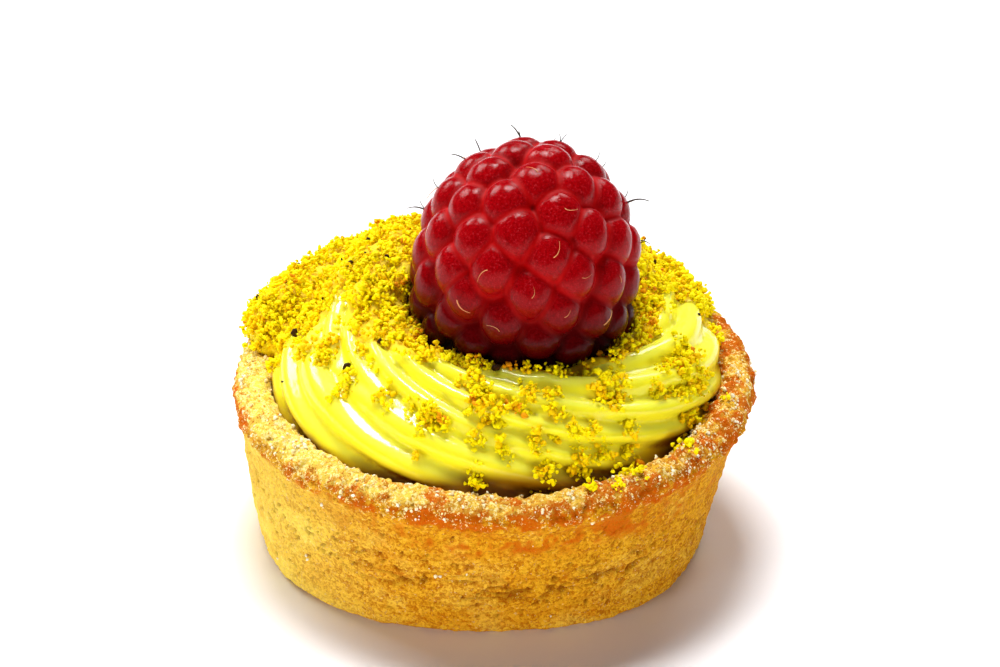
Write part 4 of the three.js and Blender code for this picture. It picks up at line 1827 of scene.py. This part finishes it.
class TARTLET_OT_raspberry(bpy.types.Operator):
    """Grows the raspberry and its dried styles"""

    bl_idname = "tartlet.raspberry"
    bl_label = "Raspberry"

    def execute(self, context):
        settings = context.scene.tartlet_berry
        form = [name for name in BERRY_INPUTS if name not in ("Geometry", "Material")]
        values = {name: getattr(settings, name.lower()) for name in form}
        middles = drupelet_middles(settings.drupelets)
        berry = self.unit_ball(middles)
        shape_with(berry, berry_tree(), {**values, "Material": berry_finish(settings)})
        place = corners(berry.data)
        lit = settings.height + 0.42 * settings.crown
        shaded = settings.height - 0.35 * settings.foot
        add_mask(berry.data, "low", smooth_step(lit, shaded, place[:, 2]))
        add_mask(berry.data, "up", normals(berry.data)[:, 2])
        finish_piece(berry, "raspberry", "raspberry")

        straw = tuple(settings.hair_colour)
        dark = tuple(channel * 0.05 for channel in straw)
        upper = [middle for middle in middles[::3] if middle[2] > 0.1 and middle[1] > 0.2]
        around = [middle for middle in middles[1::4] if middle[1] > 0]
        tree = hair_tree()
        tan = (0.85, 0.4, 0.16)
        # Name, the styles seen and the ones behind, then the pattern's length and width,
        # millimetres that a root lies below the berry's outline, the bend, leans and colours
        for name, places, hidden, size, wide, sunk, bend, least, most, tint, tip in (
            ("raspberry_hairs", STANDING_HAIRS, upper, 1.0, 1.0, 0.28, 0.35, -0.5, 0.5, dark, dark),
            ("raspberry_styles", LYING_HAIRS, around, 0.75, 0.6, -0.06, 0.7, 1.1, 1.45, straw, tan),
        ):
            seen = nearest(middles, [seen_direction(*place) for place in places])
            pattern = hair_mesh(settings.hair_length * size, settings.hair_width * wide, bend)
            hairs = mesh_object(name, [*seen, *hidden], [])
            given = {
                **values,
                "Crease": sunk * MM,
                "Hair": pattern,
                "Least lean": least,
                "Most lean": most,
                "Seed": 15,
                "Material": hair_finish(name.replace("_", " "), tint, tip),
            }
            shape_with(hairs, tree, given)
            discard(pattern)
            finish_piece(hairs, "raspberry")
        return {"FINISHED"}

    def unit_ball(self, middles):
        """A fine ball that knows each point's drupelet and how near it is to a crease."""
        work = bmesh.new()
        bmesh.ops.create_icosphere(work, subdivisions=7, radius=1.0)
        mesh = keep_mesh(work, bpy.data.meshes.new("raspberry_fruit"))
        ball = new_object("raspberry_fruit", mesh)
        drupelet, share, reach = drupelet_shares(corners(mesh), middles)
        add_mask(mesh, "share", share)
        add_mask(mesh, "reach", reach)
        add_mask(mesh, "tone", (drupelet * 0.618034) % 1.0)
        return ball


class TARTLET_OT_crumbs(bpy.types.Operator):
    """Scatters the cake crumbs over the cream, and a few clumps on the crust's rim"""

    bl_idname = "tartlet.crumbs"
    bl_label = "Cake crumbs"

    def execute(self, context):
        scene = context.scene
        settings = scene.tartlet_crumbs
        cream = piece_named("piped_cream")
        place, facing = surface_of(cream)
        up = smooth_step(-0.35, 0.1, facing[:, 2])
        cover = crumb_cover(scene.tartlet_cream, place) * up
        cover *= 0.55 + 0.9 * smooth_step(0.35, 0.65, speckle(place, 1.9, 85))
        axis = scene.tartlet_cream.ring_shift / MM
        front = 1.25 * clump_cover(place, axis) * up * smooth_step(13.0, 14.0, place[:, 2])
        front = np.maximum(0, front - cover)
        to_berry = np.hypot(place[:, 0] - BERRY_SHIFT, place[:, 1]) - BERRY_SKIN
        berry_side = smooth_step(4.5, 1.0, to_berry)
        patterns = [grain_mesh("grain_one", 1, 0.3), grain_mesh("grain_two", 2, 0.4)]
        base = {
            "Clump": settings.clump,
            "Spread": settings.spread,
            "Pile": 0.8 * MM,
            "Smallest": settings.grain_low,
            "Largest": settings.grain_high,
        }
        patches = smooth_step(0.3, 0.7, speckle(place, 2.6, 86))
        plain = cover * (1 - 0.5 * berry_side) + 0.8 * front
        deeper = cover * (0.3 + 0.4 * patches + 0.4 * berry_side) + 0.6 * front
        baked = cover * (0.05 + 0.7 * berry_side * patches) + 0.1 * front
        yellow, golden, toasted = settings.yellow, settings.golden, settings.toasted
        # Name, where they lie, how many per square metre, seed, size and the two colours
        kinds = (
            ("crumbs_fine", plain, 0.83e6, 21, 0.75, yellow, golden),
            ("crumbs_yellow", plain, 0.87e6, 24, 1.0, yellow, golden),
            ("crumbs_golden", deeper, 0.9e6, 31, 1.0, golden, toasted),
            ("crumbs_toasted", baked, 0.5e6, 41, 1.0, toasted, (0.42, 0.06, 0.01)),
        )
        for name, amount, density, seed, size, main, deep in kinds:
            finish = crumb_finish(name.replace("_", " "), tuple(main), tuple(deep), CRUMB_GRAIN)
            largest = settings.grain_high * size
            given = {**base, "Largest": largest, "Per square metre": density, "Seed": seed}
            scatter(name, "cream", cream, amount, given, patterns, finish)
        self.on_rim(scene, base, patterns)
        for pattern in patterns:
            discard(pattern)
        return {"FINISHED"}

    def on_rim(self, scene, base, patterns):
        """A few clumps that lie on the rim's inner edge."""
        crust = piece_named("shortcrust")
        settings = scene.tartlet_crumbs
        place, facing = surface_of(crust)
        shown = smooth_step(-0.2, 0.3, facing[:, 2]) * smooth_step(13.5, 14.5, place[:, 2])
        yellow, golden = tuple(settings.yellow), tuple(settings.golden)
        finish = crumb_finish("rim crumbs", yellow, golden, CRUMB_GRAIN)
        scatter(
            "crumbs_on_rim",
            "crust",
            crust,
            clump_cover(place, scene.tartlet_cream.ring_shift / MM) * shown,
            {**base, "Per square metre": 2.4e6, "Seed": 51},
            patterns,
            finish,
        )


class TARTLET_OT_sugar(bpy.types.Operator):
    """Sprinkles sugar grains on the rim and dark flecks among the crumbs"""

    bl_idname = "tartlet.sugar"
    bl_label = "Sugar and flecks"

    def execute(self, context):
        scene = context.scene
        settings = scene.tartlet_crumbs
        crust = piece_named("shortcrust")
        place, facing = surface_of(crust)
        patches = smooth_step(0.35, 0.7, layered(place, 3.0, 91, 2))
        top = smooth_step(13.2, 14.6, place[:, 2]) * smooth_step(-0.2, 0.4, facing[:, 2])
        side = 0.02 * smooth_step(1.0, 3.0, place[:, 2]) * smooth_step(0.2, 0.6, patches)
        outside = (np.hypot(place[:, 0], place[:, 1]) > 19.5).astype(float)
        patterns = [grain_mesh("sugar_one", 3, 0.3), grain_mesh("sugar_two", 4, 0.35)]
        scatter(
            "rim_sugar",
            "crust",
            crust,
            (top * (0.12 + patches) + side) * outside,
            {
                "Clump": 2,
                "Spread": 0.5 * MM,
                "Pile": 0.08 * MM,
                "Smallest": 0.14 * MM,
                "Largest": 0.4 * MM,
                "Per square metre": 1.3e6,
                "Seed": 61,
            },
            patterns,
            sugar_finish(settings),
        )
        cream = piece_named("piped_cream")
        place, facing = surface_of(cream)
        shown = smooth_step(0.1, 0.5, facing[:, 2]) * smooth_step(15, 16, place[:, 2])
        dark = tuple(channel * 0.4 for channel in settings.fleck)
        scatter(
            "dark_flecks",
            "cream",
            cream,
            shown * (0.2 + crumb_cover(scene.tartlet_cream, place)),
            {
                "Clump": 1,
                "Spread": 0.1 * MM,
                "Pile": 0.6 * MM,
                "Smallest": 0.3 * MM,
                "Largest": 1.0 * MM,
                "Per square metre": 4.5e4,
                "Seed": 71,
            },
            patterns,
            crumb_finish("dark flecks", tuple(settings.fleck), dark, 0.4 * MM),
        )
        for pattern in patterns:
            discard(pattern)
        return {"FINISHED"}


class TARTLET_PT_pieces(bpy.types.Panel):
    """The tartlet's pieces, in the order they are built"""

    bl_label = "Raspberry Tartlet"
    bl_idname = "TARTLET_PT_pieces"
    bl_space_type = "VIEW_3D"
    bl_region_type = "UI"
    bl_category = "Tartlet"

    def draw(self, context):
        column = self.layout.column()
        for operator in OPERATORS:
            column.operator(operator.bl_idname, text=operator.bl_label)
        for name, settings in SETTINGS.items():
            box = self.layout.box()
            box.label(text=name.replace("tartlet_", "").capitalize())
            group = getattr(context.scene, name)
            for entry in settings.__annotations__:
                box.prop(group, entry)


SETTINGS = {
    "tartlet_crust": CrustSettings,
    "tartlet_cream": CreamSettings,
    "tartlet_berry": BerrySettings,
    "tartlet_crumbs": CrumbSettings,
    "tartlet_stage": StageSettings,
}
OPERATORS = (
    TARTLET_OT_stage,
    TARTLET_OT_crust,
    TARTLET_OT_cream,
    TARTLET_OT_raspberry,
    TARTLET_OT_crumbs,
    TARTLET_OT_sugar,
)
CLASSES = (*SETTINGS.values(), *OPERATORS, TARTLET_PT_pieces)


def register():
    for each in CLASSES:
        bpy.utils.register_class(each)
    for name, settings in SETTINGS.items():
        setattr(bpy.types.Scene, name, PointerProperty(type=settings))


def unregister():
    for name in SETTINGS:
        delattr(bpy.types.Scene, name)
    for each in reversed(CLASSES):
        bpy.utils.unregister_class(each)


def main():
    register()
    bpy.ops.tartlet.stage()
    bpy.ops.tartlet.crust()
    bpy.ops.tartlet.cream()
    bpy.ops.tartlet.raspberry()
    bpy.ops.tartlet.crumbs()
    bpy.ops.tartlet.sugar()
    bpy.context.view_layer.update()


if __name__ == "__main__":
    main()
